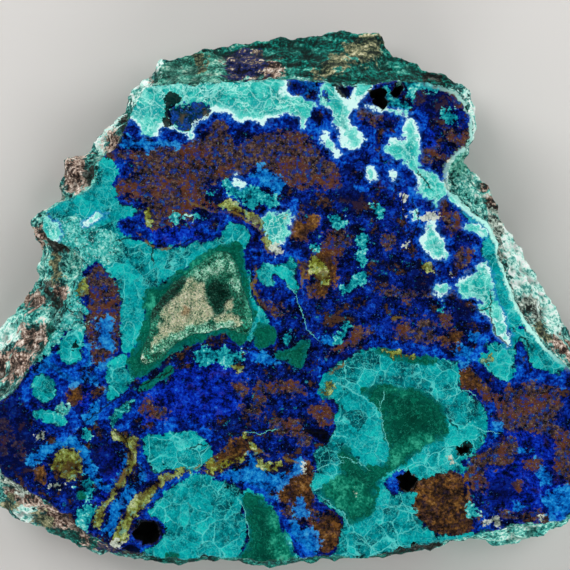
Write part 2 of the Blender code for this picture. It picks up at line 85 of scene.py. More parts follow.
# Where each mineral lies on the polished face.
mineralZones = {
    "brown": [
        "105,154 118,150 132,149 150,146 165,143 185,142 197,139 203,134 210,126 218,122 226,124 230,132 232,142"
        " 236,148 243,145 247,136 258,134 270,131 282,130 292,130 303,134 311,140 318,150 326,160 335,168 341,176"
        " 338,184 328,187 312,186 298,188 286,184 278,176 262,168 252,168 243,175 232,178 220,180 208,184 203,192"
        " 214,202 224,206 212,209 196,208 188,214 180,222 168,226 158,229 150,226 146,212 142,200 132,196 120,196"
        " 112,190 118,180 128,176 136,172 136,162 128,157 115,160 104,161",
        "288,238 292,226 297,218 305,213 314,216 315,226 306,232 298,238 291,243",
        "325,232 334,228 345,232 350,240 346,248 340,258 337,270 332,282 330,292 322,300 312,298 308,288 312,276"
        " 308,266 310,254 320,252 325,242",
        "347,332 354,326 362,329 365,340 358,347 348,350 338,354 326,360 324,354 334,347 342,341",
        "255,288 262,290 264,300 270,308 284,308 292,312 284,318 270,316 260,308 255,298",
        "298,262 308,264 310,274 302,276",
        "440,214 446,208 456,212 462,222 458,232 454,238 448,230 442,222",
        "380,236 390,234 398,238 392,246 382,246",
        "456,250 464,247 470,256 466,265 458,262",
        "463,276 470,271 478,276 474,285 465,285",
        "395,326 404,322 414,332 420,322 430,320 438,328 436,340 424,342 412,338 400,338",
        "441,312 448,309 453,318 450,330 444,328",
        "440,344 450,336 462,328 472,326 466,336 456,342 446,350",
        "458,366 468,364 478,372 486,384 498,396 510,386 524,384 540,386 552,388 560,398 560,412 552,424 560,432"
        " 572,430 590,440 590,470 570,486 556,478 552,462 560,446 548,436 530,430 514,430 500,428 494,418 500,406"
        " 496,398 484,404 478,396 470,392 460,392 458,380",
        "67,392 74,384 84,384 86,394 78,403 69,404",
        "91,390 98,385 106,390 100,398 92,399",
        "34,470 42,466 48,472 46,482 38,486 33,480",
        "140,402 152,402 166,408 168,416 152,418 140,412",
        "96,261 104,266 111,273 119,280 123,290 121,305 123,320 121,342 114,354 105,368 96,368 91,354 86,340 82,322"
        " 86,305 85,290 85,276 90,266",
        "204,466 212,456 220,448 232,441 243,436 252,442 255,446 248,452 246,459 236,463 224,470 214,476 208,472",
        "276,490 284,482 294,472 301,464 308,464 311,476 309,490 311,502 318,512 330,514 338,518 340,530 337,541"
        " 330,550 322,554 316,544 312,530 304,520 292,522 284,510 280,498",
        "255,380 266,382 280,380 300,384 306,392 290,394 272,392 264,398 262,410 256,418 242,416 242,406 254,402",
        "272,422 284,417 300,420 310,430 314,440 304,446 296,436 284,434 272,432",
        "308,406 318,402 330,403 336,412 332,424 322,430 312,424 316,414",
        "418,480 428,474 442,475 455,478 460,488 463,500 469,514 468,528 456,534 444,532 432,524 424,512 414,504"
        " 412,496 418,488",
        "470,460 480,450 492,446 500,440 512,438 518,450 512,464 500,468 490,462 482,476 490,486 480,494 470,486"
        " 464,474",
        "500,512 514,514 530,510 546,512 556,520 548,525 530,520 512,520 500,518",
        "515,484 522,482 522,494 516,494",
        "522,460 534,458 545,464 538,472 526,470",
        "-4,420 6,416 12,432 8,452 -4,460 -14,440",
        "14,440 24,444 22,462 12,458",
        "232,382 246,384 244,396 234,394",
        "420,150 434,150 446,154 454,158 446,164 434,162 424,164",
        "440,128 452,124 464,132 474,138 470,148 458,152 448,146 444,138",
        "380,292 396,288 420,290 440,288 456,292 452,300 436,298 410,298 388,300",
        "357,107 366,106 376,112 386,115 394,123 384,122 372,126 362,119",
        "411,91 424,88 428,98 420,106 411,103",
        "444,88 456,88 466,94 470,108 460,106 450,100",
    ],
    "rust": [
        "408,478 420,466 442,468 460,472 468,488 472,504 478,518 472,532 458,540 440,538 424,530 410,516 402,504",
        "272,494 282,482 294,470 301,462 312,462 316,476 314,490 318,502 312,512 300,510",
        "316,514 330,510 344,514 346,530 342,544 334,554 322,556 314,544 312,528",
        "232,441 243,436 252,442 255,446 248,452 246,459 236,463 224,470 214,470 208,466 220,452",
        "67,392 74,384 84,384 86,394 78,403 69,404",
        "91,390 98,385 106,390 100,398 92,399",
        "456,376 466,366 478,376 484,386 476,392 462,390",
        "34,470 42,466 48,472 46,482 38,486 33,480",
        "286,240 300,222 314,216 314,230 304,244",
        "310,262 326,250 338,262 332,290 316,300",
        "438,336 452,328 468,330 460,344 444,346",
    ],
    "inlay": [
        "168,115 168,106 176,104 190,103 202,101 212,106 212,112 204,117 197,122 192,130 186,133 178,128 170,124",
        "286,84 300,82 312,86 308,94 296,94",
        "322,96 326,90 330,98 326,104",
    ],
    "tealCells": [
        "150,100 158,98 163,106 160,116 152,118 148,110",
        "133,105 140,103 146,108 144,117 136,118 132,112",
        "224,104 234,102 240,108 234,115 225,113",
        "252,100 262,98 266,106 258,111 251,107",
        "268,108 278,106 282,112 274,117",
        "200,92 212,90 214,96 204,98",
        "120,124 130,118 134,124 126,130",
        "330,94 340,92 340,102 332,104",
        "404,150 412,148 414,158 408,162",
        "268,224 278,222 282,232 274,240 268,234",
    ],
    "turquoise": [
        "38,206 60,197 80,192 97,184 108,182 117,190 114,200 125,205 138,208 141,214 130,214 119,217 116,226 120,234"
        " 130,238 142,240 152,246 162,248 174,247 186,246 196,241 210,241 220,236 224,228 232,223 241,223 248,229"
        " 252,238 250,246 244,252 236,246 222,250 205,256 190,267 172,277 158,287 150,297 146,312 142,332 136,347"
        " 126,354 119,349 121,330 122,305 119,288 112,276 104,266 97,261 90,268 84,264 80,250 68,246 50,246 36,236"
        " 34,215",
        "88,156 102,156 114,163 118,174 112,184 100,192 84,190",
        "247,258 252,270 251,288 256,303 266,312 272,322 262,334 252,344 247,348 244,330",
        "256,268 264,262 275,267 284,262 291,257 297,266 297,280 300,288 296,298 290,288 284,277 276,274 270,277"
        " 275,283 270,288 262,285 256,277",
        "57,353 60,340 66,331 74,325 81,319 85,330 83,345 80,358 72,366 62,363",
        "70,303 78,301 86,307 89,314 80,317 72,312",
        "32,380 42,374 55,378 57,392 52,401 42,405 33,398",
        "31,411 40,408 52,410 62,414 69,423 60,428 50,424 40,420 33,417",
        "106,372 112,362 120,352 127,356 128,372 136,378 128,388 118,396 110,400 104,398 112,388 106,382",
        "108,420 115,410 125,401 137,397 132,408 122,415 117,426 110,426",
        "140,438 150,434 165,435 178,431 190,429 200,436 213,445 214,456 207,462 203,470 190,470 180,472 165,470"
        " 154,474 148,466 144,452",
        "152,506 162,497 170,486 182,482 195,474 203,474 215,480 230,481 240,488 247,499 241,508 246,520 249,530"
        " 247,545 240,556 225,570 205,572 170,575 142,570 138,556 150,549 162,540 168,526 158,517 149,514",
        "318,388 323,374 333,364 345,357 358,351 372,347 385,349 400,353 415,357 430,357 445,359 457,362 458,376"
        " 459,389 468,391 477,399 485,409 488,425 485,440 478,450 470,457 461,463 468,468 462,475 452,469 445,473"
        " 430,476 418,479 410,471 398,468 388,474 384,482 388,492 398,494 412,490 416,498 411,506 418,516 428,528"
        " 442,536 465,535 482,530 500,533 520,530 545,526 560,528 560,545 480,560 400,570 335,575 318,570 330,556"
        " 338,545 341,532 343,520 330,508 318,500 311,490 312,478 318,468 311,460 316,450 325,446 332,436 335,424"
        " 338,410 332,400 320,398",
        "283,524 288,538 295,550 302,562 294,575 286,560 282,540",
        "240,487 252,492 264,500 276,508 270,512 256,504 243,497",
        "443,190 452,188 466,196 480,208 500,224 510,262 516,285 524,305 545,330 534,332 524,326 516,326 508,333"
        " 500,330 496,318 492,302 487,290 480,280 479,268 484,258 481,248 487,240 480,232 466,230 471,222 462,212"
        " 455,203",
        "500,350 490,353 483,346 492,340 502,344 512,330 528,328 545,335 562,350 572,362 560,374 545,372 535,369"
        " 528,358 524,345 517,340 514,352 516,366 512,379 500,381 488,373 480,362 482,354",
    ],
    "scraps": [
        "80,480 88,474 94,482 95,492 90,499 84,495 78,490",
        "77,509 90,505 98,510 92,520 86,530 78,526 75,516",
        "467,505 474,504 477,515 472,523 468,515",
        "374,90 388,84 392,97 402,100 412,90 413,105 405,113 395,109 383,108 376,104",
        "402,76 430,76 446,82 440,90 428,91 420,86 410,91 402,88",
        "441,111 450,109 459,118 455,127 446,123",
        "330,214 340,212 345,220 341,229 333,227 329,220",
        "356,234 363,231 370,238 368,246 361,250 357,243",
        "357,250 363,252 366,262 361,268 356,260",
        "339,294 345,284 354,277 362,270 369,272 366,280 357,287 347,294",
        "343,320 349,318 351,328 345,339 337,345 333,342 341,332",
        "371,208 378,204 385,210 380,217 373,215",
        "311,246 316,242 319,248 314,252",
        "222,182 232,179 242,182 247,187 262,189 273,196 279,204 270,209 262,203 256,209 248,208 243,200 236,196"
        " 226,190",
        "434,303 439,301 443,309 439,313",
        "280,338 286,331 297,333 296,340 288,346 282,346",
        "192,352 205,348 222,348 236,352 246,358 238,368 226,364 214,360 204,368 196,364",
        "80,430 86,428 92,434 86,440 80,437",
        "170,216 178,214 182,220 174,224",
        "196,214 200,209 203,216 198,219",
        "207,193 214,192 214,197 208,198",
    ],
    "crazed": [
        "30,222 60,214 92,222 114,234 124,248 118,262 106,264 97,258 88,266 82,280 80,298 86,314 84,328 64,334"
        " 50,352 38,366 24,360 44,334 60,314 70,296 76,276 62,268 38,262",
        "58,400 70,408 66,416 52,410",
    ],
    "lace": [
        "112,50 118,104 124,118 134,121 141,128 146,136 152,138 158,134 163,127 170,128 177,132 184,134 190,139 194,132"
        " 197,124 203,120 209,116 217,112 225,112 232,115 237,121 243,123 250,120 256,122 262,126 268,120 276,118"
        " 282,113 289,112 294,117 299,122 303,129 306,122 309,114 313,107 316,104 309,100 300,97 291,96 286,90"
        " 286,50",
        "318,100 321,92 326,76 338,76 344,95 349,101 354,92 358,76 372,76 374,88 367,95 363,101 357,106 351,112"
        " 350,122 356,130 362,136 366,140 360,147 353,151 346,147 341,139 336,129 333,118 328,110 322,105",
        "364,102 375,106 388,107 397,109 406,112 414,119 417,128 423,137 418,145 419,155 414,163 422,170 432,172"
        " 440,178 446,185 448,192 441,198 437,207 433,207 431,198 424,195 417,191 416,184 419,177 411,171 406,163"
        " 402,155 396,160 391,154 385,149 390,142 396,137 403,141 407,136 404,130 408,123 405,117 397,113 386,112"
        " 375,112 364,107",
        "321,137 325,133 330,140 336,148 341,155 336,157 330,152 324,147",
        "363,170 369,166 374,171 380,176 377,182 370,182 366,177",
        "389,174 395,172 399,178 396,184 392,181",
        "424,228 430,221 438,225 442,236 446,246 448,257 440,262 433,258 427,255 422,248 420,240",
        "262,216 268,211 274,214 281,210 289,210 292,218 287,226 288,235 284,243 278,246 271,250 266,244 263,232"
        " 260,222",
        "457,282 465,276 474,273 480,262 487,258 491,270 491,285 495,297 495,311 487,312 480,300 472,298 463,296"
        " 458,290",
        "433,290 438,283 446,283 450,290 446,297 438,298",
        "476,305 484,302 492,296 500,305 506,322 511,340 508,348 500,340 494,330 490,318 480,314",
        "445,188 458,190 468,200 478,212 470,214 460,206 450,198",
        "462,228 472,222 482,226 490,232 484,236 474,231",
        "510,530 522,526 540,530 560,524 560,545 500,556 490,545 500,540",
        "83,223 96,215 108,211 109,214 98,219 86,225",
        "36,214 44,212 58,222 62,236 52,243 40,238",
        "412,212 418,210 418,218 412,220",
        "232,176 240,178 246,184 240,188 234,184",
    ],
    "malachite": [
        "127,373 125,363 134,350 141,335 145,318 142,300 147,288 158,284 170,276 185,268 198,258 212,248 224,243"
        " 236,240 243,246 246,262 247,280 250,295 254,306 257,318 252,326 247,332 246,343 240,345 232,339 226,333"
        " 214,334 204,340 192,344 182,350 172,354 164,360 157,368 148,375 137,378",
        "251,337 255,325 264,320 272,326 278,335 273,342 264,349 254,346",
        "272,353 280,350 289,350 296,341 306,337 312,342 309,352 306,363 300,369 292,366 285,360 276,359",
        "359,392 366,386 376,382 388,384 400,387 414,386 426,391 436,396 444,404 447,415 448,426 450,434 444,440"
        " 434,442 425,446 419,453 412,461 404,466 394,468 386,472 381,480 377,490 377,505 374,515 362,522 352,526"
        " 345,520 340,508 328,503 320,494 318,488 326,483 336,480 341,472 339,458 338,448 343,443 350,447 353,455"
        " 360,462 369,467 380,466 388,460 389,448 384,438 382,425 381,412 374,404 366,398",
        "240,499 248,492 258,497 268,503 275,512 280,522 284,533 288,545 294,556 304,575 240,575 228,566 240,553"
        " 247,545 249,530 244,515",
        "76,490 83,486 86,497 79,501",
        "380,346 395,350 410,355 428,357 440,359 430,367 412,364 396,361 384,356 372,352",
        "150,380 160,372 170,366 176,370 168,378 156,384 146,390 138,394 136,388",
        "165,556 172,550 180,553 178,563 168,565",
    ],
    "paleGreen": [
        "336,474 346,476 360,482 372,488 374,500 364,510 352,516 342,508 328,496 322,488",
        "266,516 276,512 284,528 292,548 298,566 280,570 272,548",
        "386,388 410,390 404,398 392,398",
        "400,440 424,430 436,440 412,454 396,464 386,462",
        "148,296 156,298 152,316 144,318",
        "182,272 196,262 210,252 216,256 200,268 188,278",
    ],
    "olive": [
        "110,432 118,431 128,435 139,436 141,446 137,454 136,463 133,471 128,479 123,488 117,496 109,501 106,509"
        " 105,519 99,529 90,528 91,518 98,510 103,502 109,494 114,485 120,476 125,466 129,458 127,449 119,442"
        " 112,438",
        "190,466 178,469 168,472 160,475 152,481 145,488 138,496 132,504 124,512 119,522 115,533 111,541 119,546"
        " 125,541 129,529 134,519 142,511 148,503 153,495 161,488 167,480 178,475 190,471",
        "212,204 225,200 235,203 243,209 253,212 261,217 264,225 267,238 271,249 266,251 261,240 258,226 251,220"
        " 241,215 231,210 220,208",
        "51,460 58,451 66,447 75,449 82,458 84,467 78,474 70,480 60,477 53,472 47,466",
        "76,283 84,278 88,284 87,296 81,299 75,293",
        "203,468 207,460 214,456 222,461 234,458 246,455 246,461 236,464 224,469 214,474",
        "310,256 316,254 328,268 330,282 322,288 311,272",
        "143,206 149,203 152,215 151,228 146,224",
        "380,348 395,351 410,353 419,357 405,359 390,356",
        "322,388 329,379 335,383 331,393 323,397",
        "254,450 262,461 272,464 284,461 282,470 270,473 260,467 253,457",
        "231,366 239,361 247,366 238,373",
        "484,358 490,354 494,361 488,367 482,364",
        "240,432 248,434 256,444 262,458 256,454 248,444",
        "424,262 434,266 430,271 416,270",
    ],
    "cerulean": [
        "28,388 32,370 44,356 60,352 62,364 80,374 100,366 112,354 112,368 100,388 88,382 70,386 56,376 40,374",
        "86,236 96,230 98,240 90,246",
        "119,134 130,139 142,142 152,142 165,138 180,137 190,141 188,147 172,144 156,148 145,151 132,151 121,147",
        "96,330 101,319 109,319 111,332 114,344 109,351 101,345 95,338",
        "84,419 90,408 98,400 106,392 114,388 121,390 116,398 108,405 100,413 92,421 86,425",
        "38,448 48,443 62,440 74,438 84,444 89,456 93,470 99,480 108,486 116,482 121,470 122,455 120,445 126,449"
        " 129,468 123,484 112,493 100,490 90,481 84,470 80,456 70,447 55,449 42,458 32,467 29,459",
        "160,480 175,477 190,472 202,477 190,482 175,487 165,496 160,510 152,513 150,500",
        "217,479 230,470 245,466 250,455 256,451 262,466 268,474 280,476 290,468 298,459 304,465 295,476 285,484"
        " 278,490 272,492 278,500 271,507 262,500 252,490 242,482 230,480",
        "293,500 300,496 307,505 308,515 302,521 295,512",
        "284,522 295,520 302,530 312,528 320,540 318,556 306,570 298,552 294,540 286,534",
        "448,351 458,345 469,345 477,351 471,361 463,369 454,367 455,358",
        "515,346 523,344 526,358 525,376 518,381 513,370",
        "544,495 556,489 574,486 574,524 560,528 550,520 546,508",
        "466,331 480,332 487,338 479,346 467,343",
        "252,172 262,169 272,172 282,178 286,188 276,193 268,188 258,187 249,184",
        "487,426 500,424 504,432 496,441 487,437",
        "142,451 150,455 151,468 147,479 138,487 130,495 124,505 119,517 116,529 109,537 102,531 107,520 111,508"
        " 117,498 126,488 134,479 140,469 140,460",
        "287,80 300,78 318,78 319,91 310,96 298,95 288,91",
        "81,330 88,338 91,360 86,371 79,368 84,350",
        "536,470 548,466 556,476 550,486 540,480",
        "520,448 532,446 534,454 522,456",
        "264,224 272,216 278,220 272,226",
        "212,108 216,112 206,118 200,124 194,130 190,128 196,116 204,110",
        "515,504 524,500 524,514 516,514",
        "320,344 328,334 336,340 328,348",
        "254,355 268,352 280,362 270,366 256,362",
    ],
    "navy": [
        "313,108 320,104 326,110 324,124 318,132 311,130 309,118",
        "416,92 430,88 448,90 456,106 448,118 436,122 424,118 414,106",
        "0,400 24,404 34,424 32,446 36,462 26,480 8,478 -14,468 -18,430",
        "92,446 104,440 115,445 118,460 113,474 104,476 95,466",
        "340,190 356,186 368,196 364,214 350,218 340,206",
        "405,278 424,272 440,278 436,292 416,296 404,288",
        "60,404 76,404 84,414 76,426 60,422",
        "455,300 470,302 476,316 466,326 452,320",
        "488,480 510,478 516,496 500,506 488,498",
        "380,170 392,166 404,172 400,186 386,188",
        "344,150 358,152 362,166 350,176 340,166",
    ],
    "royal": [
        "112,404 148,384 172,372 196,360 224,362 242,372 236,392 244,406 226,416 200,422 160,426 128,420",
        "44,356 80,374 96,396 84,420 60,410 36,392 30,372",
        "478,426 520,432 560,430 590,440 590,500 560,520 520,520 490,500 476,470",
        "330,92 356,96 364,120 352,150 334,146 322,120",
        "148,152 180,146 206,140 212,128 236,122 250,130 220,140 200,156 160,164",
        "416,106 430,100 436,122 430,150 420,140",
        "140,226 170,230 196,232 220,236 200,246 160,246",
        "100,438 124,450 128,476 116,500 104,520 96,500 104,470",
    ],
    "cream": [
        "164,115 167,114 169,121 165,124",
        "447,163 454,158 456,170 453,180 452,191 446,191 446,178",
        "443,457 450,455 459,465 456,468 448,461",
        "479,524 489,519 495,513 504,520 505,527 495,529 492,522 485,527",
        "303,464 306,463 307,476 305,477",
        "420,219 428,213 436,212 441,216 430,220 424,222",
        "403,212 406,206 408,222 404,227",
        "549,436 552,434 554,438 551,440",
        "351,488 357,489 356,498 350,497",
        "271,245 282,243 284,253 277,257 270,254",
        "34,434 42,428 48,432 46,441 35,442",
        "46,484 56,480 67,485 62,491 50,491",
        "110,541 122,539 125,546 113,548",
        "536,514 547,518 540,524",
        "403,245 408,240 410,248 405,250",
        "446,272 452,270 456,277 449,278",
        "282,212 286,210 288,218 283,222",
        "400,198 404,192 408,196 404,204",
    ],
    # Black grains and seams, and painted shade round the mouths of the pits.
    "black": [
        "162,97 170,93 180,96 181,103 172,106 169,116 171,126 164,128 162,118 166,108",
        "329,84 340,83 352,88 348,99 342,97 335,91",
        "366,92 373,87 384,89 386,100 379,105 370,99",
        "392,86 400,83 403,96 396,99 391,94",
        "456,454 462,448 467,441 474,446 471,453 462,456",
        "398,483 403,476 412,476 417,482 414,490 406,493 399,490",
        "133,523 145,519 158,522 165,527 161,537 152,546 143,542 136,532",
        "71,343 78,342 80,348 72,349",
        "225,484 229,483 231,487 226,489",
        "160,462 168,461 167,467 162,469",
        "122,547 134,544 141,551 129,554",
        "298,428 312,427 328,430 331,438 326,447 320,440 308,434",
        "293,85 297,84 298,88 294,89",
        "311,84 315,84 315,89 311,88",
        "316,112 321,112 322,124 317,126",
        "44,332 40,340 32,338 34,330",
    ],
}

# Cracks and seams that run across them.
crackLines = {
    "dark": [
        "33,283 45,288 52,300 60,306 75,311 87,317",
        "490,295 492,310 491,320 497,335 507,345",
        "413,200 416,208 420,222 415,230 409,240",
        "404,198 403,212 404,226",
        "190,448 205,446 215,442 228,436 245,432 258,430 272,431 290,430 310,432 330,433",
        "418,172 424,181 430,188",
        "449,421 457,428",
        "455,328 470,327 487,330",
        "118,240 130,238 145,239 156,246 170,249 183,243 190,239",
        "152,246 153,262",
        "87,420 100,409 112,401 122,395 135,386 150,381 166,374 180,360 192,347 206,342 222,340 240,347 258,350",
        "516,348 520,337 526,340 528,352 530,370",
        "110,425 120,433 128,445 131,458",
        "251,262 252,285 258,302 268,314",
        "478,310 484,311 491,305",
        "30,306 44,300 50,290",
    ],
    "ochre": [
        "188,200 200,208 214,212 230,212 246,220 258,228 264,240 268,252 276,256 282,254",
        "205,470 220,462 236,454 250,447 262,452 274,458",
        "190,470 204,464 216,462",
        "276,452 288,460 300,462 306,470",
        "107,500 118,486 126,470",
        "252,262 256,274 252,288 258,300",
        "140,236 152,246 164,250 176,244",
        "320,380 330,374 344,366",
        "300,262 306,270 302,284",
        "390,320 402,318 414,322",
    ],
    "light": [
        "296,300 303,318 308,328 316,338",
        "212,277 222,286 232,297",
        "334,383 350,390 362,397 374,405",
        "447,398 457,394 466,390 474,396",
        "451,420 460,428 472,423",
        "470,423 482,430 495,433",
        "400,470 416,464 428,467 440,473",
        "428,450 429,468",
        "239,500 247,520 248,534",
        "318,470 330,464 340,463",
        "322,498 334,508 344,514 349,526",
        "340,455 352,460 366,468",
        "250,432 262,433 274,430",
        "384,505 396,506 412,508",
        "360,540 372,548 382,556",
        "288,284 296,298",
        "384,395 381,412 384,428 388,445",
        "124,328 130,322 138,330 134,342",
    ],
}

# Edge of the polished face, clockwise from its upper left corner.
faceOutline = (
    "145,87 165,84 190,83 215,83 240,82 262,80 285,78 305,80 325,82 348,86 368,84 390,81 412,81 435,84"
    " 455,90 465,99 470,110 473,122 474,134 473,142 469,148 449,163 448,176 447,189 462,203 473,214"
    " 489,222 498,240 503,262 509,284 516,303 524,318 536,333 550,350 566,364 583,385 594,412 598,442"
    " 592,474 580,502 566,521 545,524 520,524 495,531 470,537 445,541 420,546 395,551 370,557 340,557"
    " 310,557 290,559 270,563 245,559 215,557 185,560 155,558 128,552 104,544 86,534 70,520 52,506"
    " 34,495 16,484 0,474 -12,459 -18,440 -15,420 -5,405 12,393 24,376 38,357 52,339 64,318 72,298"
    " 78,276 82,258 70,246 50,241 42,230 43,214 56,204 80,195 96,186 98,160 116,148 122,134 130,114"
    " 138,99")

# What shows on the rough rim, where the minerals are weathered and broken.
rimZones = {
    "rimTeal": [
        "150,80 158,62 176,50 200,42 240,34 290,26 356,20 385,26 402,46 440,62 462,76 450,88 430,84 400,80 372,84"
        " 348,86 325,82 290,79 250,81 200,84 160,86",
        "84,152 94,150 98,160 90,168 82,162",
        "120,94 134,90 137,100 127,106",
        "118,108 128,107 128,117 120,118",
        "34,326 58,322 62,340 48,356 36,350",
        "44,528 80,532 100,546 96,560 60,552 40,540",
        "150,552 200,560 260,566 330,560 420,550 440,560 300,580 140,576",
    ],
    "rimSage": [
        "146,82 154,60 176,48 206,48 228,56 228,72 216,84 180,86",
        "446,148 474,150 480,166 470,178 454,178 446,168",
    ],
    "rimPale": [
        "130,62 158,50 162,60 152,76 148,84 150,100 134,110 124,100",
        "92,122 110,106 122,112 108,130 98,152 92,144",
        "76,168 96,166 100,184 86,192 72,188",
        "32,206 60,204 62,238 36,240",
        "-30,330 10,312 24,326 14,346 -24,360",
        "462,84 476,86 486,110 484,140 470,146 474,122 470,104",
        "498,222 520,226 560,280 572,320 560,346 536,330 520,300 508,262 500,240",
        "6,506 30,504 34,528 12,528",
        "84,470 96,476 92,498 76,500",
    ],
    "rimMint": [
        "440,534 470,530 500,526 540,522 600,500 600,540 520,560 440,556",
        "30,206 60,196 90,190 100,200 96,230 60,226 40,240",
        "84,150 100,150 104,190 84,196",
        "60,225 84,218 96,236 92,262 84,290 70,310 58,306 62,280 64,250",
        "30,250 48,248 54,268 48,288 32,284",
        "456,174 480,166 504,190 502,216 478,208 458,192",
        "6,300 30,284 50,290 48,320 20,332 2,330",
    ],
    "rimBrown": [
        "140,68 152,66 154,78 142,80",
        "104,128 118,130 124,150 108,156 102,144",
        "56,160 74,154 86,160 84,190 58,192",
        "26,224 44,224 52,238 42,250 26,244",
        "18,292 44,290 48,304 30,316 18,308",
        "18,324 42,324 46,344 30,354 16,344",
        "0,344 34,352 30,378 4,384 -16,372",
        "36,504 70,504 84,530 60,536 36,528",
        "48,282 64,280 68,300 56,306",
        "480,170 494,172 500,192 488,188",
        "492,192 502,196 506,216 496,212",
        "258,58 282,58 282,80 258,80",
        "78,536 88,538 88,550 76,548",
        "0,484 40,494 44,510 0,504",
        "550,334 572,340 576,362 556,352",
        "-34,380 -10,380 -10,400 -30,420",
    ],
    "rimNavy": [
        "224,46 262,44 268,66 258,84 232,80 222,64",
        "96,545 130,548 120,562 92,558",
        "50,492 72,500 90,522 100,536 84,538 62,516",
    ],
    "rimTan": [
        "384,32 372,30 350,38 340,52 324,62 310,76 318,82 334,72 348,64 372,58 386,46",
        "0,498 10,498 12,514 0,514",
        "28,516 48,514 52,532 32,534",
        "534,320 550,320 554,340 540,338",
        "48,250 58,250 60,284 50,286",
        "192,54 206,54 206,68 192,68",
        "140,106 150,104 148,112 140,114",
    ],
    "rimGrey": [
        "498,206 508,220 504,244 508,280 520,312 512,312 504,290 500,262 496,236 492,214",
        "518,298 542,298 546,318 524,320",
        "70,226 92,224 94,252 74,256",
        "50,180 60,180 60,198 48,198",
        "0,470 60,484 66,498 20,496 -6,484",
    ],
    # Dark rock and cracks of the rim, and a painted shadow under the overhang at the left.
    "rimDarkAndShadow": [
        "424,70 440,72 442,78 426,79",
        "113,118 127,116 130,132 116,132",
        "86,164 98,164 98,180 88,180",
        "44,238 72,236 76,250 50,254",
        "32,282 44,284 56,298 80,312 88,318 76,320 54,306 40,292",
        "380,545 445,543 444,556 382,558",
        "120,548 142,548 144,560 122,560",
    ],
}

# The crust of crystals: cream sugar, a greener side, a dark pocket and a thread.
druseZones = {
    "cream": [
        "195,276 186,280 178,294 166,303 158,312 161,324 154,340 144,354 139,368 150,362 162,350 172,340 184,332"
        " 200,326 214,318 212,306 204,296 206,284",
        "221,298 232,296 234,308 224,312",
        "214,316 232,312 240,318 242,328 232,328 214,326",
    ],
    "frost": [
        "192,278 204,271 216,263 225,252 230,259 224,268 214,274 204,281 196,284",
        "228,260 234,268 239,286 243,300 239,303 234,290 229,274",
        "146,352 158,342 172,333 190,326 214,322 236,322 236,328 214,331 192,334 174,342 160,354 148,364 140,369",
    ],
    "pocket": [
        "205,287 210,281 217,280 225,284 230,291 232,298 226,302 224,309 219,315 214,312 211,304 208,296",
        "150,310 157,299 168,289 178,281 186,277 184,286 177,295 167,303 158,313 152,322",
    ],
    "tan": ["183,308 189,307 191,313 186,316 182,313"],
}

hollowOutline = (
    "222,250 233,258 238,272 241,288 247,303 252,320 251,334 241,334 232,328 222,327 210,331 195,332 182,337"
    " 172,346 162,356 150,364 139,369 141,355 149,340 152,326 151,313 160,302 168,292 176,282 188,276"
    " 198,266 208,259")

# What the stone is made of: how finely it is modelled and how rough its broken rim is.
stoneShape = {
    "voxel": 0.50 * mm,
    "lumps": (2.6 * mm, 1.1 * mm),          # size and height of the knobs of the broken rim
    "grit": (0.9 * mm, 0.45 * mm),          # size and height of its grit
    "crispEdge": 0.45,                      # depth in mm over which the roughness starts below the face
    "wallDepth": 1.2,                       # how far in from the face's edge, in mm, its walls may lie
    "sharpAngle": 50,                       # degrees past which an edge catches the light
    "freshEdge": 0.9,                       # depth in mm of the clean broken edge above the crust
    "deepest": 4.5,                         # depth in mm that no hollow or pit of the face reaches
    "pitDepth": 1.8,                        # how many times deeper the black pits are than in the solid
    "pitRags": (1.3 * mm, 1.7 * mm, 1.4),   # size, reach and width in mm of the rags of their mouths
    "seed": 5,                              # of the rags
    "backEdge": 1.5,                        # width in mm of the sawn back's edge that stays fine
    "backKept": 0.12,                       # share of the sawn back's faces that is kept
    "reach": 6.0,                           # how far from its outline a mineral is known, in mm
    "drift": (0.12, 0.35, 9 * mm),          # turn, wander and size of the drift of the crust's patches
}


def distanceInside(spots, ring):
    # How far each spot lies inside an outline, in mm, and negative outside it.
    reach = stoneShape["reach"] * mm
    result = np.full(len(spots), -stoneShape["reach"])
    near = np.all((spots > ring.min(axis=0) - reach) & (spots < ring.max(axis=0) + reach), axis=1)
    some = spots[near]
    nearest = np.full(len(some), reach * reach)
    inside = np.zeros(len(some), bool)
    for start, end in zip(ring, np.roll(ring, -1, axis=0)):
        edge = end - start
        away = some - start
        share = np.clip(away @ edge / max(edge @ edge, 1e-18), 0.0, 1.0)
        gap = away - share[:, None] * edge
        nearest = np.minimum(nearest, np.einsum("ij,ij->i", gap, gap))
        crossed = (start[1] > some[:, 1]) != (end[1] > some[:, 1])
        rise = end[1] - start[1]
        at = start[0] + (some[:, 1] - start[1]) * edge[0] / (rise if rise else 1e-12)
        inside ^= crossed & (some[:, 0] < at)
    far = np.sqrt(nearest) / mm
    result[near] = np.where(inside, far, -far)
    return result


def distanceAcross(spots, lines):
    # How far each spot lies to the left (positive) or right (negative) of the nearest line, in mm.
    nearest = np.full(len(spots), (stoneShape["reach"] * mm) ** 2)
    side = np.ones(len(spots))
    for line in lines:
        for start, end in zip(line, line[1:]):
            edge = end - start
            away = spots - start
            share = np.clip(away @ edge / (edge @ edge), 0.0, 1.0)
            gap = away - share[:, None] * edge
            far = np.einsum("ij,ij->i", gap, gap)
            closer = far < nearest
            nearest[closer] = far[closer]
            side[closer] = np.sign(edge[0] * away[closer, 1] - edge[1] * away[closer, 0])
    return side * np.sqrt(nearest) / mm


def spotsOf(mesh):
    spots = np.empty(len(mesh.vertices) * 3)
    mesh.vertices.foreach_get("co", spots)
    return spots.reshape(-1, 3)


def normalsOf(mesh):
    normals = np.empty(len(mesh.vertices) * 3)
    mesh.vertices.foreach_get("normal", normals)
    return normals.reshape(-1, 3)


def paint(mesh, name, values):
    # Keeps one value for each vertex, which the materials read by its name.
    layer = mesh.attributes.new(name, "FLOAT", "POINT")
    layer.data.foreach_set("value", np.asarray(values, dtype=np.float32))


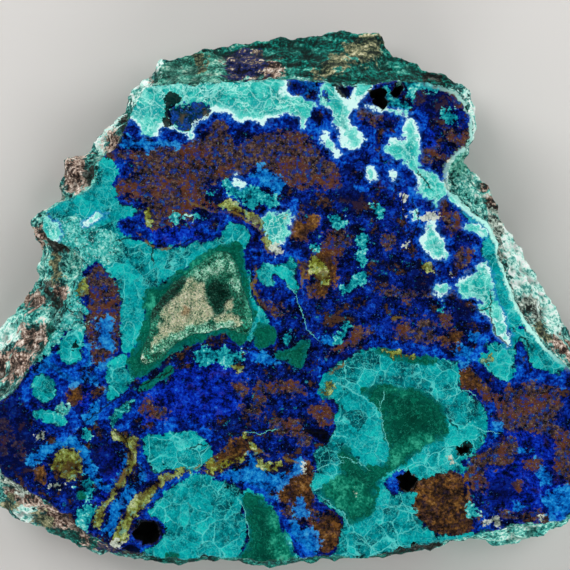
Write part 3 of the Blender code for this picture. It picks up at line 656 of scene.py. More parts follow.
def paintZones(mesh, zones, plan):
    for name, outlines in zones.items():
        layers = [distanceInside(plan, outlineOf(text)) for text in outlines]
        paint(mesh, name, np.max(layers, axis=0))


def drifted(mesh, spots, depth):
    # Down the steep walls the patches drift along the rim and wander, so that none runs straight down.
    steep = np.empty(len(spots), dtype=np.float32)
    mesh.attributes["steep"].data.foreach_get("value", steep)
    turn, wander, size = stoneShape["drift"]
    plan = spots[:, :2].copy()
    for index in np.nonzero(steep > 0.05)[0]:
        share = steep[index] * min(depth[index] / 20, 1.0)
        angle = share * (turn + wander * noise.noise(Vector(spots[index]) / size))
        x, y = spots[index, :2]
        plan[index] = (x * math.cos(angle) - y * math.sin(angle), x * math.sin(angle) + y * math.cos(angle))
    return plan


def paintLines(mesh, lines):
    plan = spotsOf(mesh)[:, :2]
    for name, routes in lines.items():
        routes = [np.array([placeOf(*map(float, pair.split(","))) for pair in text.split()]) for text in routes]
        across = distanceAcross(plan, routes)
        paint(mesh, name + "Side", across)
        paint(mesh, name + "Near", np.abs(across))


def copyOfNode(node, name):
    # A copy of a CAD solid with a mesh of its own, its loose triangles merged.
    bpy.ops.object.select_all(action="DESELECT")
    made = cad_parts[node].copy()
    made.data = made.data.copy()
    made.name = name
    made.data.name = name
    made.parent = None
    made.matrix_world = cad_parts[node].matrix_world
    bpy.context.scene.collection.objects.link(made)
    made.hide_render = False
    bpy.context.view_layer.objects.active = made
    made.select_set(True)
    bpy.ops.object.mode_set(mode="EDIT")
    bpy.ops.mesh.select_all(action="SELECT")
    bpy.ops.mesh.remove_doubles(threshold=0.01 * mm)
    bpy.ops.object.mode_set(mode="OBJECT")
    return made


def applyModifier(piece, kind, **settings):
    # One modifier, set and applied at once.
    bpy.context.view_layer.objects.active = piece
    modifier = piece.modifiers.new(kind.title(), kind)
    for name, value in settings.items():
        setattr(modifier, name, value)
    bpy.ops.object.modifier_apply(modifier=modifier.name)


def reliefTexture(name, kind, size, **settings):
    texture = bpy.data.textures.new(name, kind)
    texture.noise_scale = size
    for setting, value in settings.items():
        setattr(texture, setting, value)
    return texture


def groupOf(piece, name, weights):
    group = piece.vertex_groups.new(name=name)
    levels = np.round(weights * 10).astype(int)
    for level in range(1, 11):
        chosen = np.nonzero(levels == level)[0]
        if len(chosen):
            group.add(chosen.tolist(), level / 10, "REPLACE")
    return group


def makeStone():
    # The stone: a flat polished face, a rough broken rim and a sawn back.
    low, high = (np.array(corner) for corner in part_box("slice"))
    stone = copyOfNode("slice", "polishedSlice")
    applyModifier(stone, "REMESH", mode="VOXEL", voxel_size=stoneShape["voxel"], adaptivity=0.0)
    mesh = stone.data
    spots = spotsOf(mesh)
    normals = normalsOf(mesh)
    voxel = stoneShape["voxel"]
    face = (spots[:, 2] > high[2] - 0.6 * voxel) & (normals[:, 2] > 0.8)
    back = (spots[:, 2] < low[2] + 0.6 * voxel) & (normals[:, 2] < -0.8)
    spots[face, 2] = high[2]
    spots[back, 2] = low[2]
    mesh.vertices.foreach_set("co", spots.ravel())
    mesh.update()

    # The black pits are broken open: deeper, and with a ragged mouth.
    faceEdge = outlineOf(faceOutline)
    depth = (high[2] - spots[:, 2]) / mm
    outer = distanceInside(spots[:, :2], faceEdge)
    inHollow = distanceInside(spots[:, :2], outlineOf(hollowOutline))
    pits = (depth > 0.1) & (depth < stoneShape["deepest"]) & (outer > 0.2) & (inHollow < -0.6)
    pitTree = KDTree(int(pits.sum()))
    for index, spot in enumerate(spots[pits]):
        pitTree.insert(spot, index)
    pitTree.balance()
    size, height, ragWidth = stoneShape["pitRags"]
    noise.seed_set(stoneShape["seed"])
    for index in np.nonzero((depth < stoneShape["deepest"]) & (outer > 0.2) & (inHollow < -0.6))[0]:
        away = pitTree.find(spots[index])[2] / mm
        if away < ragWidth:
            shift = noise.noise_vector(Vector(spots[index]) / size)
            spots[index, :2] += np.array(shift.xy) * height * (1.0 - away / ragWidth)
    spots[pits, 2] = high[2] - (high[2] - spots[pits, 2]) * stoneShape["pitDepth"]
    mesh.vertices.foreach_set("co", spots.ravel())
    mesh.update()

    # The relief spares the polished face, the sawn back, the hollow and the pits.
    depth = (high[2] - spots[:, 2]) / mm
    wall = (distanceInside(spots[:, :2], faceEdge) < stoneShape["wallDepth"]) | (depth > stoneShape["deepest"])
    rimShare = smoothStep(0.0, stoneShape["crispEdge"], depth) * wall
    rimShare *= smoothStep(0.0, 0.8 * mm, spots[:, 2] - low[2])
    rimShare[face | back] = 0.0
    group = groupOf(stone, "brokenRim", rimShare)
    smooth = spotsOf(mesh).copy()
    smoothNormals = normalsOf(mesh).copy()
    lumpSize, lumpHeight = stoneShape["lumps"]
    gritSize, gritHeight = stoneShape["grit"]
    knobs = reliefTexture("brokenKnobs", "VORONOI", lumpSize, distance_metric="DISTANCE")
    applyModifier(stone, "DISPLACE", texture=knobs, texture_coords="LOCAL", strength=-lumpHeight,
                  mid_level=0.35, vertex_group=group.name)
    grit = reliefTexture("brokenGrit", "CLOUDS", gritSize, noise_depth=2)
    applyModifier(stone, "DISPLACE", texture=grit, texture_coords="LOCAL", strength=gritHeight,
                  mid_level=0.5, vertex_group=group.name)
    mesh = stone.data
    spots = spotsOf(mesh)
    # How far the relief raised or sank each point, which the material turns into painted shade in the sunk places and
    # painted light on the raised ones.
    paint(mesh, "rise", np.einsum("ij,ij->i", spots - smooth, smoothNormals) / mm)
    paint(mesh, "steep", smoothStep(0.4, 0.15, np.abs(smoothNormals[:, 2])))
    spots = np.clip(spots, low, high)
    mesh.vertices.foreach_set("co", spots.ravel())
    mesh.update()

    # The flat back needs few faces, so all but its edge is thinned.
    outer = distanceInside(spots[:, :2], faceEdge)
    thinned = back & (outer > stoneShape["backEdge"])
    thinned &= normalsOf(mesh)[:, 2] < -0.99
    group = groupOf(stone, "sawnBack", thinned.astype(float))
    spared = thinned.mean() * (1 - stoneShape["backKept"])
    applyModifier(stone, "DECIMATE", decimate_type="COLLAPSE", ratio=1 - spared, vertex_group=group.name)

    # Down the walls the crust starts a little below the edge of the polished face.
    mesh = stone.data
    spots = spotsOf(mesh)
    normals = normalsOf(mesh)
    face = (spots[:, 2] > high[2] - 0.01 * mm) & (normals[:, 2] > 0.7)
    back = (spots[:, 2] < low[2] + 0.01 * mm) & (normals[:, 2] < -0.7)
    insideFace = distanceInside(spots[:, :2], faceEdge)
    inHollow = distanceInside(spots[:, :2], outlineOf(hollowOutline))
    depth = (high[2] - spots[:, 2]) / mm
    deep = depth > stoneShape["deepest"]
    wall = ~face & ~back & ((insideFace < stoneShape["wallDepth"]) | deep)
    fresh = stoneShape["freshEdge"] - depth
    paint(mesh, "insideFace", np.where(wall, np.minimum(insideFace, fresh), insideFace))
    # The pits' walls, which the material paints near black as painted shade.
    paint(mesh, "pit", ~face & ~back & ~deep & (insideFace > 0.2) & (depth > 0.1) & (inHollow < -0.6))
    paint(mesh, "polish", face)
    paint(mesh, "sawn", back)
    paintZones(mesh, mineralZones, spots[:, :2])
    paintZones(mesh, rimZones, drifted(mesh, spots, depth))
    paintLines(mesh, crackLines)
    mesh.shade_smooth()
    mesh.set_sharp_from_angle(angle=math.radians(stoneShape["sharpAngle"]))
    print("stone", len(mesh.vertices), "vertices", sum(len(side.vertices) - 2 for side in mesh.polygons), "triangles")
    return stone


# The crust of crystals in the hollow.
druseShape = {
    "voxel": 0.24 * mm,
    "fuzz": (0.7 * mm, 0.22 * mm),
    "edgeReach": (2.6, 0.9),                # from which distance to the mouth, in mm, the edge is drawn out
    "edgeStretch": 1.5,                     # and by how much at most, in mm
    "edgeLift": 0.45 * mm,
    "crystals": 17000,
    "wallCrystals": 7000,
    "length": (0.35 * mm, 0.80 * mm),
    "width": (0.10 * mm, 0.19 * mm),
    "lean": 0.50,
    "middle": (196, 312),                   # the step that the crystals lean away from
    "seed": 7,
}


def makeCrystal():
    # One crystal: a four-sided needle, a little flattened.
    bpy.ops.object.select_all(action="DESELECT")
    bpy.ops.mesh.primitive_cone_add(vertices=4, radius1=0.6, radius2=0.0, depth=1.0, location=(0, 0, 0.5))
    crystal = bpy.context.active_object
    bpy.ops.object.mode_set(mode="EDIT")
    bpy.ops.mesh.select_all(action="SELECT")
    bpy.ops.transform.resize(value=(1.0, 0.65, 1.0))
    bpy.ops.mesh.quads_convert_to_tris()
    bpy.ops.object.mode_set(mode="OBJECT")
    bpy.ops.object.transform_apply(location=True, rotation=True, scale=True)
    return crystal


def makeDruse(stone):
    # A crust of crystals on the hollow's floor, with more of them up its walls.
    druse = copyOfNode("malachite_druse", "crystalDruse")
    applyModifier(druse, "REMESH", mode="VOXEL", voxel_size=druseShape["voxel"], adaptivity=0.0)
    fuzzSize, fuzzHeight = druseShape["fuzz"]
    # The crust's edge is drawn out to the hollow's wall, where the crystals have grown on to it.
    mesh = druse.data
    spots = spotsOf(mesh)
    mouth = outlineOf(hollowOutline)
    inMouth = distanceInside(spots[:, :2], mouth)
    steps = spots[:, None, :2] - mouth[None, :, :]
    nearest = mouth[np.argmin(np.einsum("ijk,ijk->ij", steps, steps), axis=1)]
    outward = nearest - spots[:, :2]
    outward /= np.maximum(np.linalg.norm(outward, axis=1), 1e-9)[:, None]
    share = smoothStep(*druseShape["edgeReach"], inMouth)
    stretch = np.clip(inMouth + 0.2, 0.0, druseShape["edgeStretch"]) * share
    spots[:, :2] += outward * stretch[:, None] * mm
    spots[:, 2] += share * np.where(spots[:, 2] > faceHeight - 1.6 * mm, druseShape["edgeLift"], 0.0)
    mesh.vertices.foreach_set("co", spots.ravel())
    mesh.update()
    upper = groupOf(druse, "upperSide", (normalsOf(druse.data)[:, 2] > 0.1).astype(float))
    fuzz = reliefTexture("druseFuzz", "CLOUDS", fuzzSize, noise_depth=2)
    applyModifier(druse, "DISPLACE", texture=fuzz, texture_coords="LOCAL", strength=fuzzHeight,
                  mid_level=0.6, vertex_group=upper.name)
    mesh = druse.data
    spots = spotsOf(mesh)
    normals = normalsOf(mesh)
    rng = np.random.default_rng(druseShape["seed"])
    upward = np.nonzero(normals[:, 2] > 0.35)[0]
    roots = rng.choice(upward, druseShape["crystals"])
    stoneSpots = spotsOf(stone.data)
    stoneNormals = normalsOf(stone.data)
    inHollow = distanceInside(stoneSpots[:, :2], outlineOf(hollowOutline))
    walls = (inHollow > -0.3) & (inHollow < 1.4) & (stoneSpots[:, 2] < faceHeight - 0.15 * mm)
    walls &= stoneNormals[:, 2] > -0.1
    wallRoots = rng.choice(np.nonzero(walls)[0], druseShape["wallCrystals"])
    rootSpots = np.concatenate([spots[roots], stoneSpots[wallRoots]])
    rootNormals = np.concatenate([normals[roots], stoneNormals[wallRoots]])
    crystal = makeCrystal()
    corners = spotsOf(crystal.data)
    sides = np.array([list(face.vertices) for face in crystal.data.polygons])
    bpy.data.objects.remove(crystal)

    # Each crystal stands on the crust, leaning off its normal, with its own turn, length and width.
    count = len(rootSpots)
    lean = rng.normal(0.0, druseShape["lean"], (count, 3))
    outwards = rootSpots - np.array([*placeOf(*druseShape["middle"]), faceHeight])
    outwards[:, 2] = 0.0
    outwards /= np.maximum(np.linalg.norm(outwards, axis=1), 0.1 * mm)[:, None]
    stem = rootNormals + lean + 0.5 * outwards
    stem /= np.linalg.norm(stem, axis=1)[:, None]
    across = np.cross(stem, rng.normal(size=(count, 3)))
    across /= np.linalg.norm(across, axis=1)[:, None]
    beside = np.cross(stem, across)
    length = rng.uniform(*druseShape["length"], count)[:, None, None]
    width = rng.uniform(*druseShape["width"], count)[:, None, None]
    foot = rootSpots + rng.uniform(-0.12 * mm, 0.12 * mm, (count, 3)) - stem * 0.1 * mm
    bodies = foot[:, None, :] + width * corners[None, :, 0:1] * across[:, None, :]
    bodies = bodies + width * corners[None, :, 1:2] * beside[:, None, :]
    bodies = bodies + length * corners[None, :, 2:3] * stem[:, None, :]
    bodies = bodies.reshape(-1, 3)
    bodies[:, 2] = np.minimum(bodies[:, 2], faceHeight - 0.06 * mm)
    faces = (sides[None] + (np.arange(count) * len(corners))[:, None, None]).reshape(-1, 3)
    cluster = bpy.data.meshes.new("crystals")
    cluster.from_pydata(bodies.tolist(), [], faces.tolist())
    crystals = bpy.data.objects.new("crystals", cluster)
    bpy.context.scene.collection.objects.link(crystals)
    bpy.ops.object.select_all(action="DESELECT")
    # Each crystal is darker at its foot and paler at its tip.
    paint(druse.data, "crystal", np.full(len(druse.data.vertices), 0.15))
    paint(cluster, "crystal", np.outer(rng.uniform(0.5, 1.0, count), corners[:, 2]).ravel())
    crystals.select_set(True)
    druse.select_set(True)
    bpy.context.view_layer.objects.active = druse
    bpy.ops.object.join()
    mesh = druse.data
    paintZones(mesh, druseZones, spotsOf(mesh)[:, :2])
    mesh.update()
    mesh.shade_smooth()
    mesh.set_sharp_from_angle(angle=math.radians(35))
    print("druse", len(mesh.polygons), "faces")
    return druse


def addNode(tree, kind, sockets=None, stops=None, **settings):
    # One node with its settings and colour stops, and what goes into each of its sockets.
    node = tree.nodes.new("ShaderNode" + kind)
    for name, value in settings.items():
        setattr(node, name, value)
    if stops:
        elements = node.color_ramp.elements
        while len(elements) < len(stops):
            elements.new(0.5)
        for element, (position, code) in zip(elements, stops):
            element.position = position
            element.color = linear(code)
    for socket, value in (sockets or {}).items():
        if isinstance(value, bpy.types.Node):
            value = next(output for output in value.outputs if output.enabled)
        if isinstance(value, bpy.types.NodeSocket):
            tree.links.new(value, node.inputs[socket])
        else:
            node.inputs[socket].default_value = linear(value) if isinstance(value, str) else value
    return node


def emptyMaterial(name):
    material = bpy.data.materials.new(name)
    material.use_nodes = True
    tree = material.node_tree
    tree.nodes.clear()
    return material, tree

def stain(tree, under, over, pattern, start, full, strength=1.0):
    # Lays one colour over another where a pattern passes from start to full.
    share = addNode(tree, "MapRange", {"Value": pattern, "From Min": start, "From Max": full, "To Max": strength},
                    interpolation_type="SMOOTHSTEP")
    return addNode(tree, "Mix", {0: share, 6: under, 7: over}, data_type="RGBA")


# The ore's own patterns and colours.
ore = {
    "noises": {
        # size in mm, detail, roughness, distortion and shift of each
        "broad": (5.0, 3.0, 0.60, 0.0, 0.0),
        "coarse": (2.1, 5.0, 0.62, 0.0, 31.0),
        "patches": (3.2, 4.0, 0.65, 0.0, 95.0),
        "grain": (0.65, 3.0, 0.60, 0.0, 67.0),
        "pepper": (0.40, 2.0, 0.60, 0.0, 160.0),
        "speck": (0.34, 1.0, 0.50, 0.0, 12.0),
        "rust": (4.0, 3.0, 0.60, 0.0, 143.0),
        "blueGrains": (1.1, 4.0, 0.66, 0.0, 180.0),
        "flakes": (1.7, 5.0, 0.66, 0.0, 222.0),
        "curls": (3.0, 1.5, 0.45, 1.2, 251.0),
        "veins": (2.6, 4.0, 0.62, 0.0, 288.0),
    },
    "edges": {
        # how far each mineral's edge wanders and frays, and how softly it ends, in mm
        "brown": (7.0, 2.6, 0.14),
        "rust": (7.0, 2.6, 0.30),
        "turquoise": (3.6, 1.3, 0.16),
        "scraps": (6.0, 2.8, 0.14),
        "crazed": (5.0, 1.5, 0.30),
        "lace": (4.2, 1.3, 0.26),
        "inlay": (5.0, 2.6, 0.20),
        "tealCells": (2.6, 1.0, 0.25),
        "malachite": (3.0, 1.1, 0.24),
        "paleGreen": (3.0, 1.2, 0.9),
        "olive": (4.6, 2.2, 0.12),
        "cerulean": (7.0, 2.4, 0.35),
        "navy": (7.0, 2.0, 0.5),
        "royal": (12.0, 4.0, 0.5),
        "cream": (3.8, 2.4, 0.08),
        "black": (3.2, 2.0, 0.08),
    },
    "azurite": [(0.30, "#01020d"), (0.42, "#020a30"), (0.52, "#04186c"), (0.62, "#082e98"), (0.76, "#1254bc")],
    "royal": [(0.32, "#01051e"), (0.44, "#02105a"), (0.54, "#0522a0"), (0.65, "#0c40c0"), (0.78, "#2272dc")],
    "matrix": [(0.30, "#0a090c"), (0.42, "#1f191c"), (0.52, "#382928"), (0.62, "#4e3a30"), (0.80, "#715e50")],
    "rusty": [(0.32, "#100b08"), (0.44, "#2c1e13"), (0.54, "#4a3119"), (0.64, "#6e4b1e"), (0.80, "#a07a48")],
    "halo": [(0.34, "#020a3c"), (0.46, "#031c78"), (0.57, "#0543b4"), (0.72, "#167ad6")],
    "cerulean": [(0.34, "#02245c"), (0.45, "#03489a"), (0.56, "#0670bc"), (0.72, "#2c9cd8")],
    "turquoise": [(0.32, "#00343c"), (0.42, "#01545c"), (0.53, "#017a80"), (0.66, "#029298"), (0.86, "#14b6b0")],
    "scraps": [(0.34, "#032a3c"), (0.44, "#045c70"), (0.54, "#0a8c94"), (0.64, "#3cb8b4"), (0.76, "#b0e4da")],
    "crazed": [(0.30, "#13484a"), (0.40, "#187876"), (0.52, "#2ba29c"), (0.62, "#66c4ba"), (0.76, "#b8e4d8")],
    "lace": [(0.34, "#067c7c"), (0.45, "#149c98"), (0.55, "#2eb8ae"), (0.66, "#62d0c4"), (0.80, "#b8ece0")],
    "malachite": [(0.0, "#047470"), (0.07, "#024a3a"), (0.16, "#045c4a"), (0.26, "#013e33"), (0.42, "#024838"),
                  (0.62, "#013328")],
    "paleGreen": [(0.38, "#03503f"), (0.52, "#0c7a62"), (0.68, "#3ab292")],
    "olive": [(0.34, "#26220c"), (0.44, "#504a16"), (0.52, "#737c26"), (0.61, "#9aac56"), (0.74, "#d2d8a2")],
    "cream": [(0.36, "#36443e"), (0.50, "#7c8a7a"), (0.66, "#ccd4c4")],
    "crust": [(0.34, "#062626"), (0.44, "#1a6664"), (0.54, "#56aca2"), (0.64, "#a2d8ca"), (0.76, "#e0f4e8")],
    "rim": {
        "rimTeal": [(0.30, "#000f10"), (0.42, "#00342f"), (0.53, "#005e54"), (0.64, "#0c8a7c"), (0.80, "#78c8b4")],
        "rimSage": [(0.30, "#0a3c34"), (0.42, "#257868"), (0.53, "#4ca08e"), (0.64, "#88c8b2"), (0.80, "#d8f0dc")],
        "rimPale": [(0.30, "#3c9c94"), (0.40, "#98dfd2"), (0.50, "#d0f8ec"), (0.62, "#f2fffa"), (0.80, "#ffffff")],
        "rimMint": [(0.32, "#0a4c4a"), (0.42, "#2a948c"), (0.52, "#66cabc"), (0.62, "#b0ecdc"), (0.76, "#f0fff8")],
        "rimBrown": [(0.34, "#171212"), (0.44, "#523d36"), (0.54, "#a08878"), (0.64, "#d8c6b8"), (0.78, "#fbf2e8")],
        "rimNavy": [(0.32, "#03040c"), (0.43, "#0a1540"), (0.52, "#1c2c6c"), (0.58, "#3c3430"), (0.68, "#8c7c6c"),
                    (0.80, "#ece0d0")],
        "rimTan": [(0.36, "#14201c"), (0.46, "#3c4a38"), (0.56, "#6c7256"), (0.68, "#a09e78"), (0.80, "#dcd8b4")],
        "rimGrey": [(0.34, "#111716"), (0.44, "#465450"), (0.54, "#8c9e92"), (0.64, "#c0d0c2"), (0.78, "#f2faf2")],
        # Near-black rock, which also serves as the painted shadow under the overhang.
        "rimDarkAndShadow": [(0.36, "#020303"), (0.50, "#101414"), (0.60, "#2b2c26"), (0.74, "#58625c")],
    },
    "lines": [
        # name, colour, half width in mm and strength of each kind of line
        ("dark", "#0a0d10", 0.14, 0.85),
        ("light", "#62c6c0", 0.07, 0.75),
        ("ochre", "#6e5a24", 0.20, 1.0),
    ],
    "gloss": (0.65, 0.20),            # roughness of the rough rim and of the polish
}


def makeOre():
    # Copper ore, sawn and polished on its face: azurite, chrysocolla, malachite and iron-stained matrix.
    # Grown together in grains and bands, it looks like a map of blue, turquoise, green and brown.
    material, tree = emptyMaterial("polishedCopperOre")
    coords = addNode(tree, "TexCoord").outputs["Object"]
    place = addNode(tree, "VectorMath", {0: coords, "Scale": 1 / mm}, operation="SCALE")
    grown = {}
    for name, (size, detail, roughness, distortion, shift) in ore["noises"].items():
        moved = addNode(tree, "VectorMath", {0: place, 1: (shift, shift * 0.7, 0.0)}, operation="ADD")
        grown[name] = addNode(tree, "TexNoise", {"Vector": moved, "Scale": 1 / size, "Detail": detail,
                                                 "Roughness": roughness, "Distortion": distortion})
    wobble = addNode(tree, "Math", {0: grown["coarse"], 1: 0.5}, operation="SUBTRACT")
    fray = addNode(tree, "Math", {0: grown["grain"], 1: 0.5}, operation="SUBTRACT")
    sway = addNode(tree, "Math", {0: grown["broad"], 1: 0.5}, operation="SUBTRACT")
    pepper = addNode(tree, "Math", {0: grown["pepper"], 1: 0.5}, operation="SUBTRACT")
    mottle = addNode(tree, "Math", {0: pepper, 1: 0.42, 2: grown["coarse"]}, operation="MULTIPLY_ADD")
    mottle = addNode(tree, "Math", {0: fray, 1: 0.55, 2: mottle}, operation="MULTIPLY_ADD")
    fine = addNode(tree, "Math", {0: wobble, 1: 0.75, 2: grown["grain"]}, operation="MULTIPLY_ADD")
    fine = addNode(tree, "Math", {0: pepper, 1: 0.45, 2: fine}, operation="MULTIPLY_ADD")
    soft = addNode(tree, "Math", {0: fray, 1: 0.35, 2: grown["coarse"]}, operation="MULTIPLY_ADD")

    # Each mineral's drawn edge wanders and frays; inside is 1 within it and 0 outside.
    edges = {}
    inside = {}
    for name, (wander, fringe, softness) in ore["edges"].items():
        drawn = addNode(tree, "Attribute", attribute_name=name).outputs["Fac"]
        edge = addNode(tree, "Math", {0: wobble, 1: wander, 2: drawn}, operation="MULTIPLY_ADD")
        edges[name] = addNode(tree, "Math", {0: fray, 1: fringe, 2: edge}, operation="MULTIPLY_ADD")
        inside[name] = addNode(tree, "MapRange", {"Value": edges[name], "From Min": -softness,
                                                  "From Max": softness}, interpolation_type="SMOOTHSTEP")

    # Azurite: black-blue to royal blue grains, stained brown in places, with teal and pale flakes.
    azurite = addNode(tree, "ValToRGB", {0: mottle}, stops=ore["azurite"])
    azurite = stain(tree, azurite, "#060a1e", grown["broad"], 0.52, 0.62, 0.5)
    stained = addNode(tree, "Math", {0: fray, 1: 0.40, 2: grown["patches"]}, operation="MULTIPLY_ADD")
    azurite = stain(tree, azurite, "#17131b", stained, 0.55, 0.59, 0.9)
    azurite = stain(tree, azurite, "#48301f", stained, 0.60, 0.64, 0.8)
    azurite = stain(tree, azurite, "#0f6f88", grown["flakes"], 0.62, 0.66, 0.8)
    azurite = stain(tree, azurite, "#5fa8b0", grown["flakes"], 0.68, 0.72, 0.8)
    azurite = stain(tree, azurite, "#3f7fd4", grown["speck"], 0.66, 0.76, 0.4)
    azurite = stain(tree, azurite, addNode(tree, "ValToRGB", {0: mottle}, stops=ore["royal"]), inside["royal"],
                    0.0, 1.0, 0.8)

    # Matrix: iron-stained brown, finely grained, with blue and pale grains in it.
    matrix = addNode(tree, "ValToRGB", {0: fine}, stops=ore["matrix"])
    matrix = stain(tree, matrix, "#623619", grown["rust"], 0.50, 0.58, 0.55)
    matrix = stain(tree, matrix, "#0a2878", grown["blueGrains"], 0.525, 0.57, 0.85)
    matrix = stain(tree, matrix, "#1c5f8c", grown["blueGrains"], 0.63, 0.66, 0.8)
    matrix = stain(tree, matrix, "#233c7c", grown["speck"], 0.40, 0.32, 0.35)
    matrix = stain(tree, matrix, "#8c9484", grown["speck"], 0.64, 0.74, 0.4)
    colour = stain(tree, azurite, matrix, inside["brown"], 0.0, 1.0)
    rusty = addNode(tree, "ValToRGB", {0: mottle}, stops=ore["rusty"])
    rusty = stain(tree, rusty, "#8a5a20", grown["flakes"], 0.56, 0.64, 0.5)
    colour = stain(tree, colour, rusty, inside["rust"], 0.0, 1.0, 0.92)

    colour = stain(tree, colour, "#040a34", inside["navy"], 0.0, 1.0, 0.6)
    colour = stain(tree, colour, addNode(tree, "ValToRGB", {0: mottle}, stops=ore["cerulean"]), inside["cerulean"],
                   0.0, 1.0, 0.9)

    # A royal blue seam of azurite runs round the chrysocolla where no matrix touches it.
    border = addNode(tree, "Math", {0: edges["turquoise"], 1: edges["lace"]}, operation="MAXIMUM")
    seam = addNode(tree, "Math", {0: sway, 1: 10.0, 2: border}, operation="MULTIPLY_ADD")
    seam = addNode(tree, "Math", {0: inside["brown"], 1: -3.0, 2: seam}, operation="MULTIPLY_ADD")
    seam = addNode(tree, "Math", {0: inside["rust"], 1: -3.0, 2: seam}, operation="MULTIPLY_ADD")
    colour = stain(tree, colour, addNode(tree, "ValToRGB", {0: mottle}, stops=ore["halo"]), seam, -1.8, -1.2, 0.9)

    # Chrysocolla: turquoise in crazed cells, each of its own shade, with paler seams.
    bend = addNode(tree, "VectorMath", {0: grown["veins"].outputs["Color"], 1: (1.8, 1.8, 1.8), 2: place},
                   operation="MULTIPLY_ADD")
    cells = addNode(tree, "TexVoronoi", {"Vector": bend, "Scale": 1 / 3.2})
    seams = addNode(tree, "TexVoronoi", {"Vector": bend, "Scale": 1 / 3.2}, feature="DISTANCE_TO_EDGE")
    shade = addNode(tree, "SeparateColor", {0: cells.outputs["Color"]}).outputs[0]
    tone = addNode(tree, "Math", {0: shade, 1: 0.28, 2: soft}, operation="MULTIPLY_ADD")
    tone = addNode(tree, "Math", {0: tone, 1: 0.06}, operation="SUBTRACT")
    tone = addNode(tree, "Math", {0: sway, 1: 0.4, 2: tone}, operation="MULTIPLY_ADD")
    turquoise = addNode(tree, "ValToRGB", {0: tone}, stops=ore["turquoise"])
    turquoise = stain(tree, turquoise, "#26bcb8", grown["speck"], 0.57, 0.70, 0.5)
    turquoise = stain(tree, turquoise, "#025058", grown["speck"], 0.42, 0.32, 0.35)
    turquoise = stain(tree, turquoise, "#7fe0da", grown["flakes"], 0.66, 0.71, 0.7)
    crazing = addNode(tree, "Math", {0: fray, 1: 0.05, 2: seams.outputs["Distance"]}, operation="MULTIPLY_ADD")
    broken = addNode(tree, "MapRange", {"Value": grown["broad"], "From Min": 0.42, "From Max": 0.56, "To Max": 0.75})
    turquoise = stain(tree, turquoise, "#5ccec8", crazing, 0.036, 0.010, broken)
    threads = addNode(tree, "TexVoronoi", {"Vector": bend, "Scale": 1 / 1.5}, feature="DISTANCE_TO_EDGE")
    threads = addNode(tree, "Math", {0: fray, 1: 0.08, 2: threads.outputs["Distance"]}, operation="MULTIPLY_ADD")
    netted = addNode(tree, "MapRange", {"Value": grown["patches"], "From Min": 0.48, "From Max": 0.56, "To Max": 0.55})
    turquoise = stain(tree, turquoise, "#48c2bc", threads, 0.055, 0.015, netted)
    vein = addNode(tree, "Math", {0: grown["veins"], 1: 0.5}, operation="SUBTRACT")
    vein = addNode(tree, "Math", {0: vein}, operation="ABSOLUTE")
    turquoise = stain(tree, turquoise, "#4cc4be", vein, 0.012, 0.003, 0.5)
    colour = stain(tree, colour, turquoise, inside["turquoise"], 0.0, 1.0)
    scrap = addNode(tree, "ValToRGB", {0: mottle}, stops=ore["scraps"])
    colour = stain(tree, colour, scrap, inside["scraps"], 0.0, 1.0, 0.95)

    # Weathered chrysocolla: teal and grey, with dark cracks and pale crumbs.
    crazed = addNode(tree, "ValToRGB", {0: mottle}, stops=ore["crazed"])
    crazed = stain(tree, crazed, "#14201f", vein, 0.018, 0.005, 0.7)
    crazed = stain(tree, crazed, "#7f9690", grown["broad"], 0.56, 0.64, 0.3)
    crazed = stain(tree, crazed, "#bff0ea", grown["speck"], 0.60, 0.70, 0.5)
    colour = stain(tree, colour, crazed, inside["crazed"], 0.0, 1.0)

    # A thin dark line follows the chrysocolla's edge for a part of the way.
    along = addNode(tree, "Math", {0: edges["turquoise"]}, operation="ABSOLUTE")
    partly = addNode(tree, "MapRange", {"Value": grown["patches"], "From Min": 0.46, "From Max": 0.54, "To Max": 0.8})
    colour = stain(tree, colour, "#071a24", along, 0.24, 0.10, partly)

    # Lace: chrysocolla with curled pale threads and a white edge, which fades through sky blue to azurite.
    colour = stain(tree, colour, "#1f6cc4", edges["lace"], -0.9, -0.05, 0.55)
    lace = addNode(tree, "ValToRGB", {0: soft}, stops=ore["lace"])
    lace = stain(tree, lace, "#12989a", inside["tealCells"], 0.0, 1.0, 0.85)
    lace = stain(tree, lace, "#9ce8dc", grown["speck"], 0.58, 0.70, 0.5)
    loops = addNode(tree, "Math", {0: grown["curls"], 1: 3.0}, operation="MULTIPLY")
    loops = addNode(tree, "Math", {0: edges["lace"], 1: 0.9, 2: loops}, operation="MULTIPLY_ADD")
    loops = addNode(tree, "Math", {0: loops, 1: 0.5}, operation="PINGPONG")
    looped = addNode(tree, "MapRange", {"Value": grown["patches"], "From Min": 0.42, "From Max": 0.56, "To Max": 0.75})
    lace = stain(tree, lace, "#b4f0e4", loops, 0.20, 0.04, looped)
    lace = stain(tree, lace, "#a4ece0", crazing, 0.050, 0.015, 0.45)
    band = addNode(tree, "Math", {0: sway, 1: -5.0, 2: edges["lace"]}, operation="MULTIPLY_ADD")
    lace = stain(tree, lace, "#8fe4dc", band, 1.20, 0.40, 0.5)
    lace = stain(tree, lace, "#dcf8f4", band, 0.45, 0.15, 0.75)
    colour = stain(tree, colour, lace, inside["lace"], 0.0, 1.0)
    colour = stain(tree, colour, azurite, inside["inlay"], 0.0, 1.0, 0.95)

